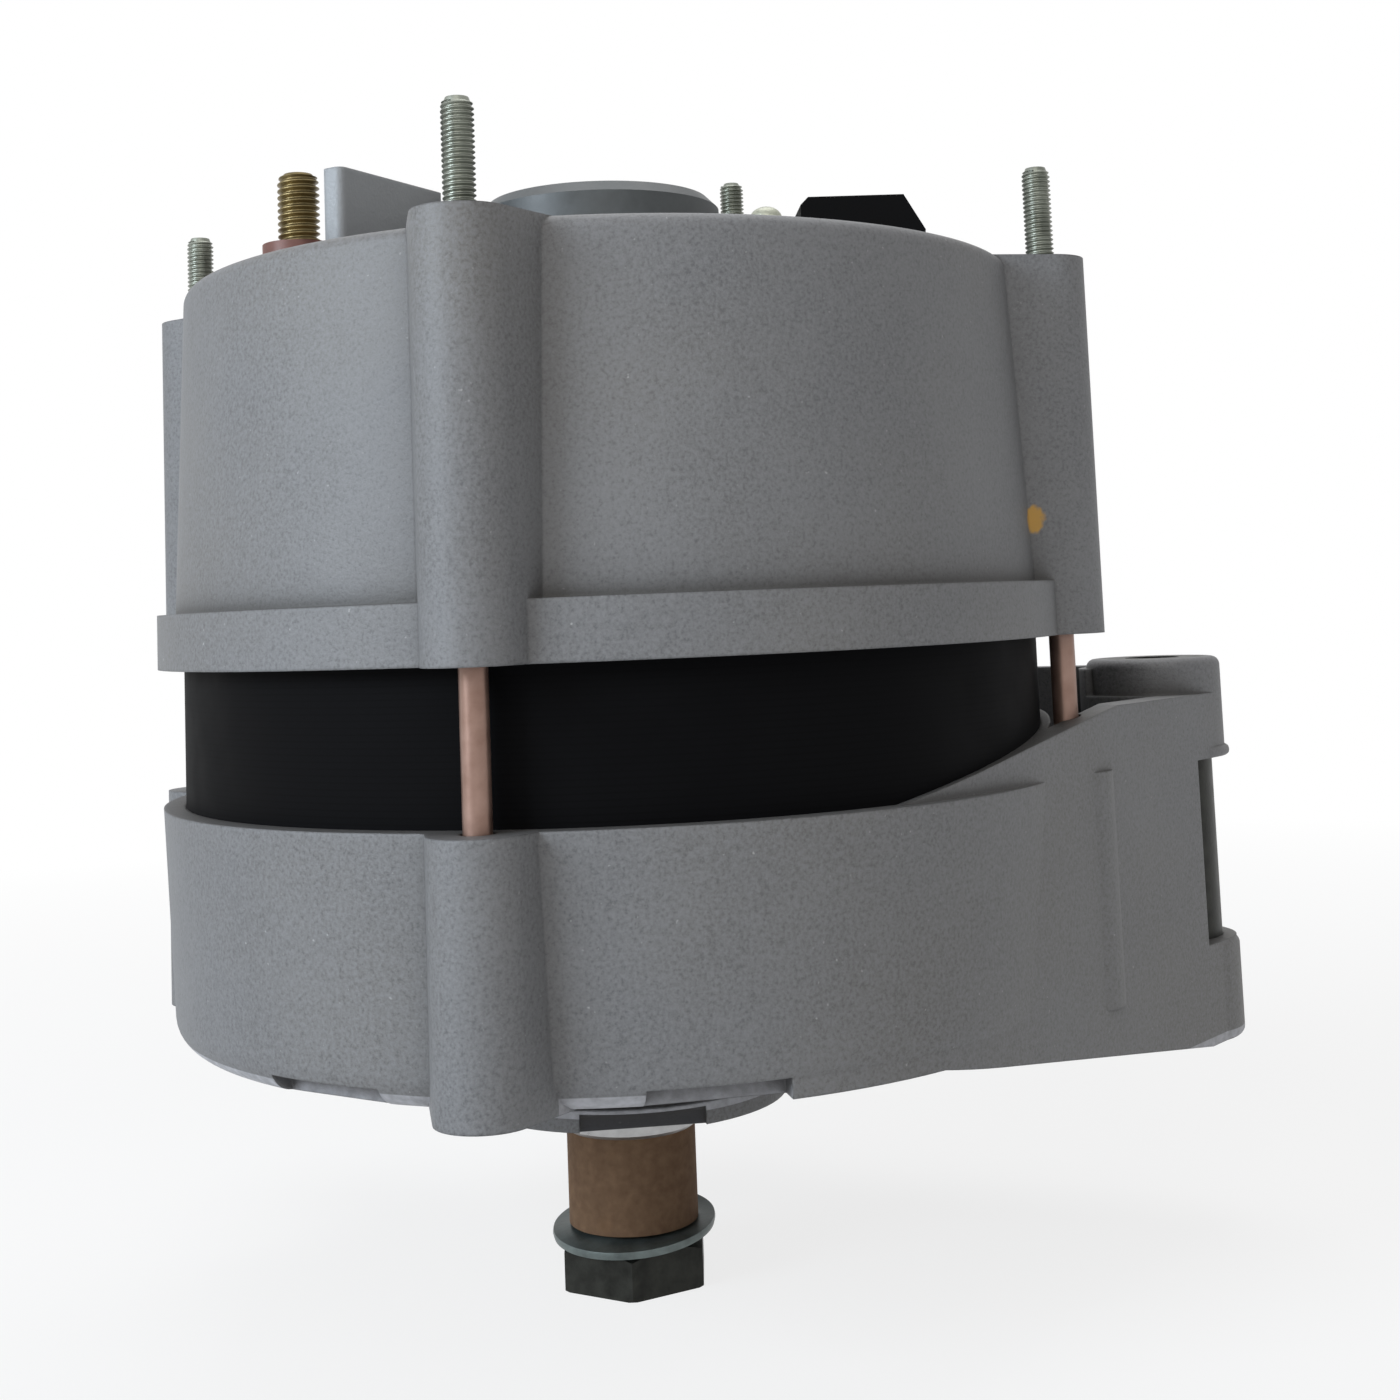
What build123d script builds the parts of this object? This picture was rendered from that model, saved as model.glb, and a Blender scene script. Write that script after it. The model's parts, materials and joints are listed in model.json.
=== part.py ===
"""Belt-driven claw-pole alternator, supplied without pulley and fan.

The shaft axis is Z and the slip-ring end is up. Z = 0 is the pulley seat, the lower
face of the spacer ring. +X points at the pivot arm. All sizes are in millimetres.
"""

import os
from math import cos, radians, sin

from build123d import *

# ---------------------------------------------------------------- driving sizes
fit = 0.02  # gap between pieces that are pressed or clamped together
running = 0.3  # gap beside pieces that move past each other

# Through bolts
bolt_gap = 2.25  # from the stator to the bolt shank
bolt_count = 4
first_bolt_angle = -114.0
bolt_r = 2.45
bolt_shank_r = 2.15
bolt_stick_out = 16.7
bolt_head_r = 4.2
bolt_head_h = 3.6
bolt_boss_r = 7.4
bolt_boss_root_r = 15.0
bolt_boss_depth = 20.0

# Drive-end shield
shield_rim_lip = 3.7  # beyond the stator
shield_draft = 1.7
shield_face_z = 21.0
shield_rim_z = 60.3
shield_wall = 5.2
shield_face_t = 5.0
shield_corner_r = 5.0
front_hub_r = 28.0
front_hub_z = 5.5
front_hub_lip_h = 3.6
front_hub_neck_r = 26.5
front_lip_r = 13.0
hub_notch_w = 21.0
front_window_in_r = 36.0
front_window_out_r = 62.0
front_window_count = 8
front_window_w = 15.0
front_notch_w = 21.0
front_notch_h = 3.0
front_window_angle = -90.0

# Pivot arm
arm_reach = 29.4  # beyond the stator
pivot_bottom_z = 7.2
pivot_top_z = 77.7
pivot_upper_r = 12.5
pivot_lower_r = 13.0
pivot_bead_r = 13.3
pivot_bead_h = 2.0
pivot_upper_len = 18.7
pivot_lower_len = 18.3
pivot_hole_r = 5.1
pivot_bush_wall = 4.9
pivot_window_x = 0.6
pivot_edge_round = 1.6
arm_ramp_x = 36.0
arm_web = 6.0
arm_near_top_z = 71.0
arm_far_top_z = 76.0
arm_slope_start_x = 30.0
arm_slope_end_x = 84.0
arm_floor_z = 27.0

# Tensioning ear
ear_angle = 117.0
ear_reach = 14.0  # beyond the bolt circle
ear_r = 10.5
ear_t = 12.0
ear_hole_r = 4.25

# Stator
stator_r = 75.6
stator_build = 21.6  # radial thickness of the ring
stator_len = 32.0
stator_spigot = 4.3
slot_count = 36
slot_depth = 11.0
slot_w = 4.6
slot_mouth_w = 2.2
slot_mouth_depth = 1.6
winding_head_h = 13.0
winding_head_t = 9.0
winding_head_gap = 2.7
winding_bevel = 2.5
winding_gap = 0.3

# Slip-ring-end shield
rear_flange_lip = 4.4  # beyond the stator
rear_wall_lip = 1.7
rear_draft = 2.6
rear_flange_h = 9.2
rear_rim_z = 149.0
rear_wall = 4.5
rear_face_t = 5.0
rear_rim_round = 2.5
rear_hub_r = 25.0
rear_hub_h = 9.0
rear_window_in_r = 34.0
rear_window_out_r = 66.0
rear_window_w = 9.0
guard_len = 29.0
guard_t = 4.5
guard_at = 40.0
guard_at_angle = 188.6
guard_turn = 47.9
guard_h = 19.5

rear_collar_r = 20.3
rear_collar_top_z = 157.5
cap_r = 22.3
cap_top_z = 165.8
cap_t = 2.0
cap_bevel = 2.0
rear_window_angles = [-64.0, -88.0, -140.0, 75.0, 97.0, 119.0]

# Shaft line
shaft_r = 8.5
shaft_thread_r = 8.0
shaft_end_z = -25.6
shaft_thread_top_z = -12.0
rotor_seat_r = 10.5
keyway_w = 4.0
keyway_len = 9.0
keyway_depth = 3.5
ring_r = 12.0
sleeve_len = 16.2
sleeve_r = 11.4
washer_dish = 1.0
nut_turn = -2.5
washer_r = 14.3
washer_t = 2.0
nut_across_flats = 24.0
nut_h = 6.7
nut_chamfer = 1.2

# Bearings: bore radius comes from the shaft
front_bearing_r = 23.5
front_bearing_w = 14.0
front_bearing_z = 12.0
front_ball_r = 4.2
front_ball_count = 7
rear_journal_r = 7.5
rear_bearing_r = 17.5
rear_bearing_w = 11.0
rear_bearing_z = 145.0
rear_ball_r = 3.0
rear_ball_count = 8
race_t_share = 0.27
ball_play = 0.12
cage_play = 0.08
cage_t = 2.0
cage_h_share = 1.15
seal_t = 0.8
retainer_t = 2.5
retainer_r = 33.0
retainer_bore_r = 19.0
retainer_screw_count = 4
retainer_screw_circle_r = 28.5
retainer_screw_r = 1.95
retainer_screw_len = 9.0
retainer_head_r = 3.6
retainer_head_h = 2.6

# Rotor
air_gap = 0.6
claw_depth = 14.4
pole_len = 50.0
pole_disc_t = 12.0
pole_core_r = 24.0
claw_count = 6
claw_root_w = 31.0
claw_tip_w = 13.0
claw_tip_t = 4.8
claw_tip_gap = 4.0
bobbin_wall = 1.6
slip_hub_r = 12.5
slip_seat_r = 9.0
slip_ring_r = 15.5
slip_ring_w = 8.0
slip_ring_gap = 4.0
slip_hub_z = 108.0
slip_collar = 2.0

# Brush gear and regulator, built along a local +X and turned to this angle
brush_angle = 11.5
brush_w = 5.0
brush_h = 6.4
brush_len = 15.0
brush_travel = 2.0
brush_box_wall = 2.0
brush_clear = 0.15
spring_r = 2.0
spring_wire_r = 0.45
spring_turns = 5
spring_len = 9.0
holder_block_x = 54.5
holder_w = 16.0
cover_in_x = 45.0
cover_out_x = 64.0
cover_w = 24.0
cover_len = 24.0
cover_depth = 17.0
cover_turn = -9.5
cover_bevel = 4.0
cover_h = 17.5
holder_screw_r = 1.95
holder_screw_head_r = 3.9
holder_screw_span = 32.0

holder_gap = 2.6
flange_t = 2.0
flange_ear_r = 4.4
holder_screw_head_h = 3.0

# Rectifier and terminals
upper_diode_angles = [88.0, 180.0, 262.0]
lower_diode_angles = [108.0, 200.0, 282.0]
terminal_head_h = 3.5
phase_bush_h = 15.5
sink_in_r = 32.0
sink_out_r = 64.0
sink_t = 3.0
lower_sink_z = 120.0
upper_sink_z = 133.0
sink_start = 28.0
sink_sweep = 292.0
diode_r = 6.35
diode_h = 8.0
diode_lead_r = 0.8
diode_lead_h = 4.0
diode_circle_r = 48.0
sink_post_r = 4.0
sink_screw_r = 1.95
sink_screw_head_r = 3.4
sink_screw_head_h = 2.6
sink_post_at = 60.0
sink_post_angles = [64.0, 132.0, 222.0, 306.0]
terminal_angle = 159.5
terminal_at = 58.0
terminal_r = 3.95
terminal_shank_r = 3.6
terminal_stick_out = 26.7
terminal_bush_r = 6.9
terminal_bush_h = 13.0
small_terminal_x = 35.1
small_terminal_y = 39.7
small_terminal_r = 2.45
small_terminal_stick_out = 30.0
small_shank_step = 0.3
nut_recess = 0.25
phase_terminal_x = 38.4
phase_terminal_y = 24.6
phase_terminal_r = 1.95
phase_bush_r = 3.5
phase_stick_out = 20.8
small_bush_r = 5.5
small_bush_h = 12.0
small_nut_across_flats = 8.0
small_nut_h = 4.0

# ---------------------------------------------------------------- worked-out places
stator_bore_r = stator_r - stator_build
rotor_r = stator_bore_r - air_gap
pole_disc_r = rotor_r - claw_depth
coil_r = pole_disc_r + 0.4
winding_head_r = stator_bore_r + winding_head_gap + winding_head_t / 2
bolt_circle_r = stator_r + bolt_gap + bolt_shank_r
bolt_boss_root_at = bolt_circle_r - bolt_boss_depth
shield_rim_r = stator_r + shield_rim_lip
shield_face_r = shield_rim_r - shield_draft
rear_flange_r = stator_r + rear_flange_lip
rear_wall_r = stator_r + rear_wall_lip
rear_rim_r = rear_wall_r - rear_draft
pivot_x = stator_r + arm_reach
pivot_bush_r = pivot_hole_r + pivot_bush_wall
ear_at = bolt_circle_r + ear_reach
guard_x = guard_at * cos(radians(guard_at_angle))
guard_y = guard_at * sin(radians(guard_at_angle))
stator_bottom_z = shield_rim_z - stator_spigot
stator_top_z = stator_bottom_z + stator_len
rear_flange_z = stator_top_z - stator_spigot
rear_flange_top_z = rear_flange_z + rear_flange_h
rear_hub_z = rear_bearing_z - rear_hub_h
riser_x = holder_block_x
riser_len = cover_out_x - cover_in_x - 2 * brush_box_wall
negative_sink_top_z = upper_sink_z + sink_t
rotor_mid_z = (stator_bottom_z + stator_top_z) / 2
pole_bottom_z = rotor_mid_z - pole_len / 2
pole_top_z = rotor_mid_z + pole_len / 2
shield_bore_r = shield_rim_r - shield_wall - 0.6
rear_face_z = rear_rim_z - rear_face_t
front_bearing_top_z = front_bearing_z + front_bearing_w
rear_bearing_top_z = rear_bearing_z + rear_bearing_w
bolt_top_z = rear_rim_z + bolt_stick_out
bolt_bottom_z = shield_face_z + bolt_head_h
pivot_mid_bottom_z = pivot_bottom_z + pivot_lower_len
pivot_mid_top_z = pivot_top_z - pivot_upper_len
slip_ring_lower_z = slip_hub_z + slip_collar
slip_ring_upper_z = slip_ring_lower_z + slip_ring_w + slip_ring_gap
slip_hub_top_z = slip_ring_upper_z + slip_ring_w + slip_collar
bolt_angles = [first_bolt_angle + i * 360 / bolt_count for i in range(bolt_count)]

terminal_x = terminal_at * cos(radians(terminal_angle))
terminal_y = terminal_at * sin(radians(terminal_angle))
terminal_holes = [
    ((terminal_x, terminal_y, rear_rim_z - rear_face_t), terminal_bush_r),
    ((small_terminal_x, small_terminal_y, rear_rim_z - rear_face_t), small_bush_r),
    ((phase_terminal_x, phase_terminal_y, rear_rim_z - rear_face_t), phase_bush_r),
]

os.makedirs("parts", exist_ok=True)


def polar(radius, angle, z=0.0):
    """Point at a radius and angle about the shaft axis."""
    return (radius * cos(radians(angle)), radius * sin(radians(angle)), z)


def save(part, name):
    """Label a finished piece and write its STEP file."""
    part.label = name
    export_step(part, f"parts/{name}.step")


def ring_part(outer_r, inner_r, z0, z1, edge=0.0):
    """Plain ring between two heights, with a small chamfer on its outer edges."""
    with BuildPart() as ring:
        with BuildSketch(Plane.XZ):
            with Locations(((outer_r + inner_r) / 2, (z0 + z1) / 2)):
                Rectangle(outer_r - inner_r, z1 - z0)
            if edge:
                chamfer(vertices().group_by(Axis.X)[-1], edge)
        revolve(axis=Axis.Z)
    return ring.part


def boss_outline():
    """Plan of the four bolt bosses, each widening towards the housing wall."""
    with BuildSketch() as outline:
        for angle in bolt_angles:
            with BuildSketch(mode=Mode.PRIVATE) as boss:
                with Locations(polar(bolt_circle_r, angle)[:2]):
                    Circle(bolt_boss_r)
                with Locations(polar(bolt_boss_root_at, angle)[:2]):
                    Circle(bolt_boss_root_r)
                make_hull()
            add(boss.sketch)
    return outline.sketch


# ---------------------------------------------------------------- drive-end shield
arm_root_r = shield_face_r - 0.3
with BuildSketch() as arm_plan:
    Circle(arm_root_r)
    with Locations((pivot_x, 0)):
        Circle(pivot_upper_r)
    make_hull()

with BuildSketch() as arm_pocket_plan:
    add(arm_plan.sketch)
    offset(amount=-arm_web, mode=Mode.REPLACE)
    Circle(arm_root_r, mode=Mode.SUBTRACT)
    with Locations((pivot_x, 0)):
        Circle(pivot_upper_r + 1.5, mode=Mode.SUBTRACT)

with BuildPart() as arm_side:
    with BuildSketch(Plane.XZ):
        Polygon(
            (0, shield_face_z),
            (arm_ramp_x, shield_face_z),
            (pivot_x, pivot_bottom_z + 0.5),
            (pivot_x + pivot_lower_r, pivot_bottom_z + 0.5),
            (pivot_x + pivot_lower_r, arm_far_top_z),
            (arm_slope_end_x, arm_far_top_z),
            (arm_slope_start_x, shield_rim_z),
            (0, shield_rim_z),
            align=None,
        )
    extrude(amount=bolt_circle_r, both=True)
    # The web on the -Y side stops lower than the one on the +Y side.
    with BuildSketch(Plane.XZ):
        Polygon(
            (arm_slope_start_x, shield_rim_z),
            (arm_slope_end_x - 2, arm_near_top_z),
            (pivot_x + 20, arm_near_top_z),
            (pivot_x + 20, arm_far_top_z + 20),
            (arm_slope_start_x, arm_far_top_z + 20),
            align=None,
        )
    extrude(amount=bolt_circle_r, mode=Mode.SUBTRACT)

with BuildPart() as arm_body:
    with BuildSketch(Plane.XY.offset(pivot_bottom_z)):
        add(arm_plan.sketch)
    extrude(amount=arm_far_top_z - pivot_bottom_z)
    add(arm_side.part, mode=Mode.INTERSECT)

with BuildPart() as drive_end_shield:
    # Cup-shaped wall and face
    with BuildSketch(Plane.XZ):
        Polygon(
            (0, shield_face_z),
            (shield_face_r, shield_face_z),
            (shield_rim_r, shield_rim_z),
            (0, shield_rim_z),
            align=None,
        )
        fillet(vertices().group_by(Axis.X)[-2], shield_corner_r)
    revolve(axis=Axis.Z)
    # Bolt bosses
    with BuildSketch(Plane.XY.offset(shield_face_z)):
        add(boss_outline())
    extrude(amount=shield_rim_z - shield_face_z)
    # Tensioning ear
    with BuildSketch(Plane.XY.offset(shield_face_z)):
        with Locations(polar(ear_at, ear_angle)[:2]):
            Circle(ear_r)
        with Locations(polar(ear_at / 2, ear_angle)[:2]):
            Circle(ear_r * 1.9)
        make_hull()
    extrude(amount=ear_t)
    # Pivot arm and its two lugs
    add(arm_body.part)
    for r, z0, z1 in (
        (pivot_lower_r, pivot_bottom_z, pivot_mid_bottom_z),
        (pivot_upper_r, pivot_bottom_z, pivot_top_z),
        (pivot_bead_r, pivot_mid_top_z, pivot_mid_top_z + pivot_bead_h),
    ):
        with BuildSketch(Plane.XZ):
            Polygon(
                (pivot_x, z0), (pivot_x + r, z0), (pivot_x + r, z1), (pivot_x, z1), align=None
            )
            fillet(
                vertices().group_by(Axis.X)[-1],
                min(pivot_edge_round, (z1 - z0) * 0.45),
            )
        revolve(axis=Axis((pivot_x, 0, 0), (0, 0, 1)))
    # Hub for the front bearing
    with BuildSketch(Plane.XZ):
        Polygon(
            (0, front_hub_z),
            (front_hub_r, front_hub_z),
            (front_hub_r, front_hub_z + front_hub_lip_h),
            (front_hub_neck_r, front_hub_z + front_hub_lip_h + 1.0),
            (front_hub_neck_r + 3.0, front_bearing_top_z),
            (0, front_bearing_top_z),
            align=None,
        )
    revolve(axis=Axis.Z)
    # Inside of the cup, with the seat for the stator
    with BuildSketch(Plane.XZ):
        Polygon(
            (retainer_r + fit, shield_face_z + shield_face_t),
            (shield_face_r - shield_wall, shield_face_z + shield_face_t),
            (shield_bore_r, stator_bottom_z),
            (stator_r + fit, stator_bottom_z),
            (stator_r + fit, arm_far_top_z + 1),
            (0, arm_far_top_z + 1),
            (0, front_bearing_top_z),
            (retainer_r + fit, front_bearing_top_z),
            align=None,
        )
    revolve(axis=Axis.Z, mode=Mode.SUBTRACT)
    # Bearing seat and shaft opening
    with Locations((0, 0, front_bearing_z)):
        Cylinder(
            front_bearing_r + fit,
            front_bearing_w + 1,
            align=(Align.CENTER, Align.CENTER, Align.MIN),
            mode=Mode.SUBTRACT,
        )
    with Locations((0, 0, front_hub_z)):
        Cylinder(
            front_lip_r,
            front_bearing_z - front_hub_z,
            align=(Align.CENTER, Align.CENTER, Align.MIN),
            mode=Mode.SUBTRACT,
        )
    # Pry notch in the hub lip
    with Locations(Location((0, 0, front_hub_z), (0, 0, -95))):
        with Locations((front_hub_r, 0, 0)):
            Box(
                6,
                hub_notch_w,
                front_hub_lip_h - 0.6,
                align=(Align.CENTER, Align.CENTER, Align.MIN),
                mode=Mode.SUBTRACT,
            )
    # Air windows through the face and the shallow notches at its corner
    window_angles = [
        front_window_angle + i * 360 / front_window_count for i in range(front_window_count)
    ]
    for angle in window_angles:
        with BuildSketch(Plane.XY.offset(pivot_bottom_z)):
            with Locations(Location((0, 0, 0), (0, 0, angle))):
                with Locations(((front_window_in_r + front_window_out_r) / 2, 0)):
                    RectangleRounded(
                        front_window_out_r - front_window_in_r, front_window_w, 4.0
                    )
        extrude(
            amount=shield_face_z + shield_face_t + 1 - pivot_bottom_z, mode=Mode.SUBTRACT
        )
    for angle in [a for a in window_angles if abs(a) > 46 and abs(a - ear_angle) > 28]:
        with Locations(Location((0, 0, shield_face_z), (0, 0, angle))):
            with Locations((shield_face_r, 0, 0)):
                Box(
                    2 * shield_corner_r,
                    front_notch_w,
                    front_notch_h,
                    align=(Align.CENTER, Align.CENTER, Align.MIN),
                    mode=Mode.SUBTRACT,
                )
    # Pocket between the webs of the arm
    with BuildSketch(Plane.XY.offset(arm_floor_z)):
        add(arm_pocket_plan.sketch)
    extrude(amount=pivot_top_z, mode=Mode.SUBTRACT)
    # Pivot bore, with the outer end cut open between its two lands
    with Locations((pivot_x, 0, pivot_bottom_z)):
        Cylinder(
            pivot_bush_r,
            pivot_top_z - pivot_bottom_z,
            align=(Align.CENTER, Align.CENTER, Align.MIN),
            mode=Mode.SUBTRACT,
        )
    with Locations((pivot_x + pivot_window_x, 0, pivot_mid_bottom_z)):
        Box(
            30,
            60,
            pivot_mid_top_z - pivot_mid_bottom_z,
            align=(Align.MIN, Align.CENTER, Align.MIN),
            mode=Mode.SUBTRACT,
        )
    # Bolt holes with counterbores for the heads
    with Locations([polar(bolt_circle_r, a, shield_face_z) for a in bolt_angles]):
        Cylinder(
            bolt_r + 0.15,
            arm_far_top_z,
            align=(Align.CENTER, Align.CENTER, Align.MIN),
            mode=Mode.SUBTRACT,
        )
        Cylinder(
            bolt_head_r + 0.3,
            bolt_head_h,
            align=(Align.CENTER, Align.CENTER, Align.MIN),
            mode=Mode.SUBTRACT,
        )
    with Locations(polar(ear_at, ear_angle, shield_face_z)):
        Cylinder(
            ear_hole_r,
            ear_t,
            align=(Align.CENTER, Align.CENTER, Align.MIN),
            mode=Mode.SUBTRACT,
        )
    with Locations(
        [
            polar(
                retainer_screw_circle_r,
                45 + i * 360 / retainer_screw_count,
                front_bearing_top_z - retainer_screw_len + retainer_t,
            )
            for i in range(retainer_screw_count)
        ]
    ):
        Cylinder(
            retainer_screw_r + fit,
            retainer_screw_len,
            align=(Align.CENTER, Align.CENTER, Align.MIN),
            mode=Mode.SUBTRACT,
        )
save(drive_end_shield.part, "drive_end_shield")

# ---------------------------------------------------------------- slip-ring-end shield
with BuildPart() as slip_ring_end_shield:
    with BuildSketch(Plane.XZ):
        Polygon(
            (0, rear_flange_z),
            (rear_flange_r, rear_flange_z),
            (rear_flange_r, rear_flange_top_z),
            (rear_wall_r - 0.4, rear_flange_top_z),
            (rear_rim_r, rear_rim_z),
            (0, rear_rim_z),
            align=None,
        )
        fillet(vertices().group_by(Axis.Y)[-1].sort_by(Axis.X)[-1], rear_rim_round)
    revolve(axis=Axis.Z)
    # Bolt bosses over the whole height, with the draft of the casting
    with BuildSketch(Plane.XY.offset(rear_flange_z)):
        add(boss_outline())
    extrude(amount=rear_rim_z - rear_flange_z)
    # Guard wall beside the main terminal
    with BuildSketch(Plane.XY.offset(rear_face_z)):
        with Locations(Location((guard_x, guard_y, 0), (0, 0, guard_turn))):
            RectangleRounded(guard_len, guard_t, 1.5)
    extrude(amount=rear_face_t + guard_h)
    # Inside of the cup, with the seat for the stator
    with BuildSketch(Plane.XZ):
        Polygon(
            (0, rear_flange_z - 1),
            (stator_r + fit, rear_flange_z - 1),
            (stator_r + fit, stator_top_z),
            (rear_wall_r - rear_wall, stator_top_z),
            (rear_rim_r - rear_wall, rear_face_z),
            (rear_hub_r, rear_face_z),
            (rear_hub_r, rear_hub_z),
            (0, rear_hub_z),
            align=None,
        )
    revolve(axis=Axis.Z, mode=Mode.SUBTRACT)
    # Collar for the rear bearing, which the cap slides over
    with Locations((0, 0, rear_face_z)):
        Cylinder(
            rear_collar_r,
            rear_collar_top_z - rear_face_z,
            align=(Align.CENTER, Align.CENTER, Align.MIN),
        )
    with Locations((0, 0, rear_bearing_z)):
        Cylinder(
            rear_bearing_r + fit,
            rear_collar_top_z - rear_bearing_z,
            align=(Align.CENTER, Align.CENTER, Align.MIN),
            mode=Mode.SUBTRACT,
        )
    with Locations((0, 0, rear_hub_z)):
        Cylinder(
            rear_journal_r + 3,
            rear_bearing_z - rear_hub_z,
            align=(Align.CENTER, Align.CENTER, Align.MIN),
            mode=Mode.SUBTRACT,
        )
    # Air windows between the hub and the wall
    for angle in rear_window_angles:
        with BuildSketch(Plane.XY.offset(rear_face_z)):
            with Locations(Location((0, 0, 0), (0, 0, angle))):
                with Locations(((rear_window_in_r + rear_window_out_r) / 2, 0)):
                    RectangleRounded(
                        rear_window_out_r - rear_window_in_r, rear_window_w, 3.0
                    )
        extrude(amount=rear_face_t, mode=Mode.SUBTRACT)
    # Opening for the regulator and brush gear, with its screw holes
    with BuildSketch(Plane.XY.offset(rear_face_z)):
        with Locations(Location((0, 0, 0), (0, 0, brush_angle))):
            with Locations((riser_x, 0)):
                Rectangle(riser_len + 2 * fit, holder_w + 2 * fit)
            with Locations((holder_block_x, holder_screw_span / 2)):
                Circle(holder_screw_r + fit)
            with Locations((holder_block_x, -holder_screw_span / 2)):
                Circle(holder_screw_r + fit)
    extrude(amount=rear_face_t, mode=Mode.SUBTRACT)
    # Posts that carry the heat sinks
    with Locations([polar(sink_post_at, a, negative_sink_top_z) for a in sink_post_angles]):
        Cylinder(
            sink_post_r,
            rear_face_z - negative_sink_top_z,
            align=(Align.CENTER, Align.CENTER, Align.MIN),
        )
        Cylinder(
            sink_screw_r + fit,
            rear_face_z - negative_sink_top_z,
            align=(Align.CENTER, Align.CENTER, Align.MIN),
            mode=Mode.SUBTRACT,
        )
    # Holes for the bushes of the terminals
    for at, bush_r in terminal_holes:
        with Locations(at):
            Cylinder(
                bush_r + fit,
                rear_face_t,
                align=(Align.CENTER, Align.CENTER, Align.MIN),
                mode=Mode.SUBTRACT,
            )
    # Bolt holes
    with Locations([polar(bolt_circle_r, a, rear_flange_z) for a in bolt_angles]):
        Cylinder(
            bolt_r + 0.15,
            rear_rim_z - rear_flange_z,
            align=(Align.CENTER, Align.CENTER, Align.MIN),
            mode=Mode.SUBTRACT,
        )
save(slip_ring_end_shield.part, "slip_ring_end_shield")

# ---------------------------------------------------------------- stator
with BuildPart() as stator_core:
    with BuildSketch(Plane.XY.offset(stator_bottom_z)):
        Circle(stator_r)
        Circle(stator_bore_r, mode=Mode.SUBTRACT)
        with PolarLocations(stator_bore_r + slot_mouth_depth + slot_depth / 2, slot_count):
            Rectangle(slot_depth, slot_w, mode=Mode.SUBTRACT)
        with PolarLocations(stator_bore_r + slot_mouth_depth / 2, slot_count):
            Rectangle(slot_mouth_depth + 1, slot_mouth_w, mode=Mode.SUBTRACT)
    extrude(amount=stator_len)
save(stator_core.part, "stator_core")

with BuildPart() as stator_winding:
    with BuildSketch(Plane.XY.offset(stator_bottom_z - winding_gap)):
        with PolarLocations(stator_bore_r + slot_mouth_depth + slot_depth / 2, slot_count):
            Rectangle(slot_depth - 2 * winding_gap, slot_w - 2 * winding_gap)
    extrude(amount=stator_len + 2 * winding_gap)
    for z0, z1 in (
        (stator_bottom_z - winding_gap - winding_head_h, stator_bottom_z - winding_gap),
        (stator_top_z + winding_gap, stator_top_z + winding_gap + winding_head_h),
    ):
        with BuildSketch(Plane.XZ):
            with Locations((winding_head_r, (z0 + z1) / 2)):
                Rectangle(winding_head_t, z1 - z0)
            chamfer(vertices(), winding_bevel)
        revolve(axis=Axis.Z)
save(stator_winding.part, "stator_winding")

# ---------------------------------------------------------------- through bolts
with BuildPart() as through_bolts:
    for angle in bolt_angles:
        with Locations(polar(bolt_circle_r, angle, shield_face_z)):
            Cylinder(
                bolt_head_r, bolt_head_h, align=(Align.CENTER, Align.CENTER, Align.MIN)
            )
            Cylinder(
                bolt_shank_r,
                bolt_top_z - shield_face_z,
                align=(Align.CENTER, Align.CENTER, Align.MIN),
            )
        with Locations(polar(bolt_circle_r, angle, rear_rim_z)):
            Cylinder(
                bolt_r, bolt_stick_out, align=(Align.CENTER, Align.CENTER, Align.MIN)
            )
        with Locations(polar(bolt_circle_r, angle, shield_face_z)):
            Box(
                bolt_head_r * 1.3,
                1.2,
                1.4,
                align=(Align.CENTER, Align.CENTER, Align.MIN),
                mode=Mode.SUBTRACT,
            )
save(through_bolts.part, "through_bolts")

# ---------------------------------------------------------------- pivot bushes
pivot_split_z = (pivot_bottom_z + pivot_top_z) / 2
for z, length, name in (
    (pivot_bottom_z, pivot_split_z - pivot_bottom_z, "pivot_bush_lower"),
    (pivot_split_z, pivot_top_z - pivot_split_z, "pivot_bush_upper"),
):
    with BuildPart() as pivot_bush:
        with BuildSketch(Plane.XY.offset(z)):
            with Locations((pivot_x, 0)):
                Circle(pivot_bush_r - fit)
                Circle(pivot_hole_r, mode=Mode.SUBTRACT)
        extrude(amount=length)
    save(pivot_bush.part, name)


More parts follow.
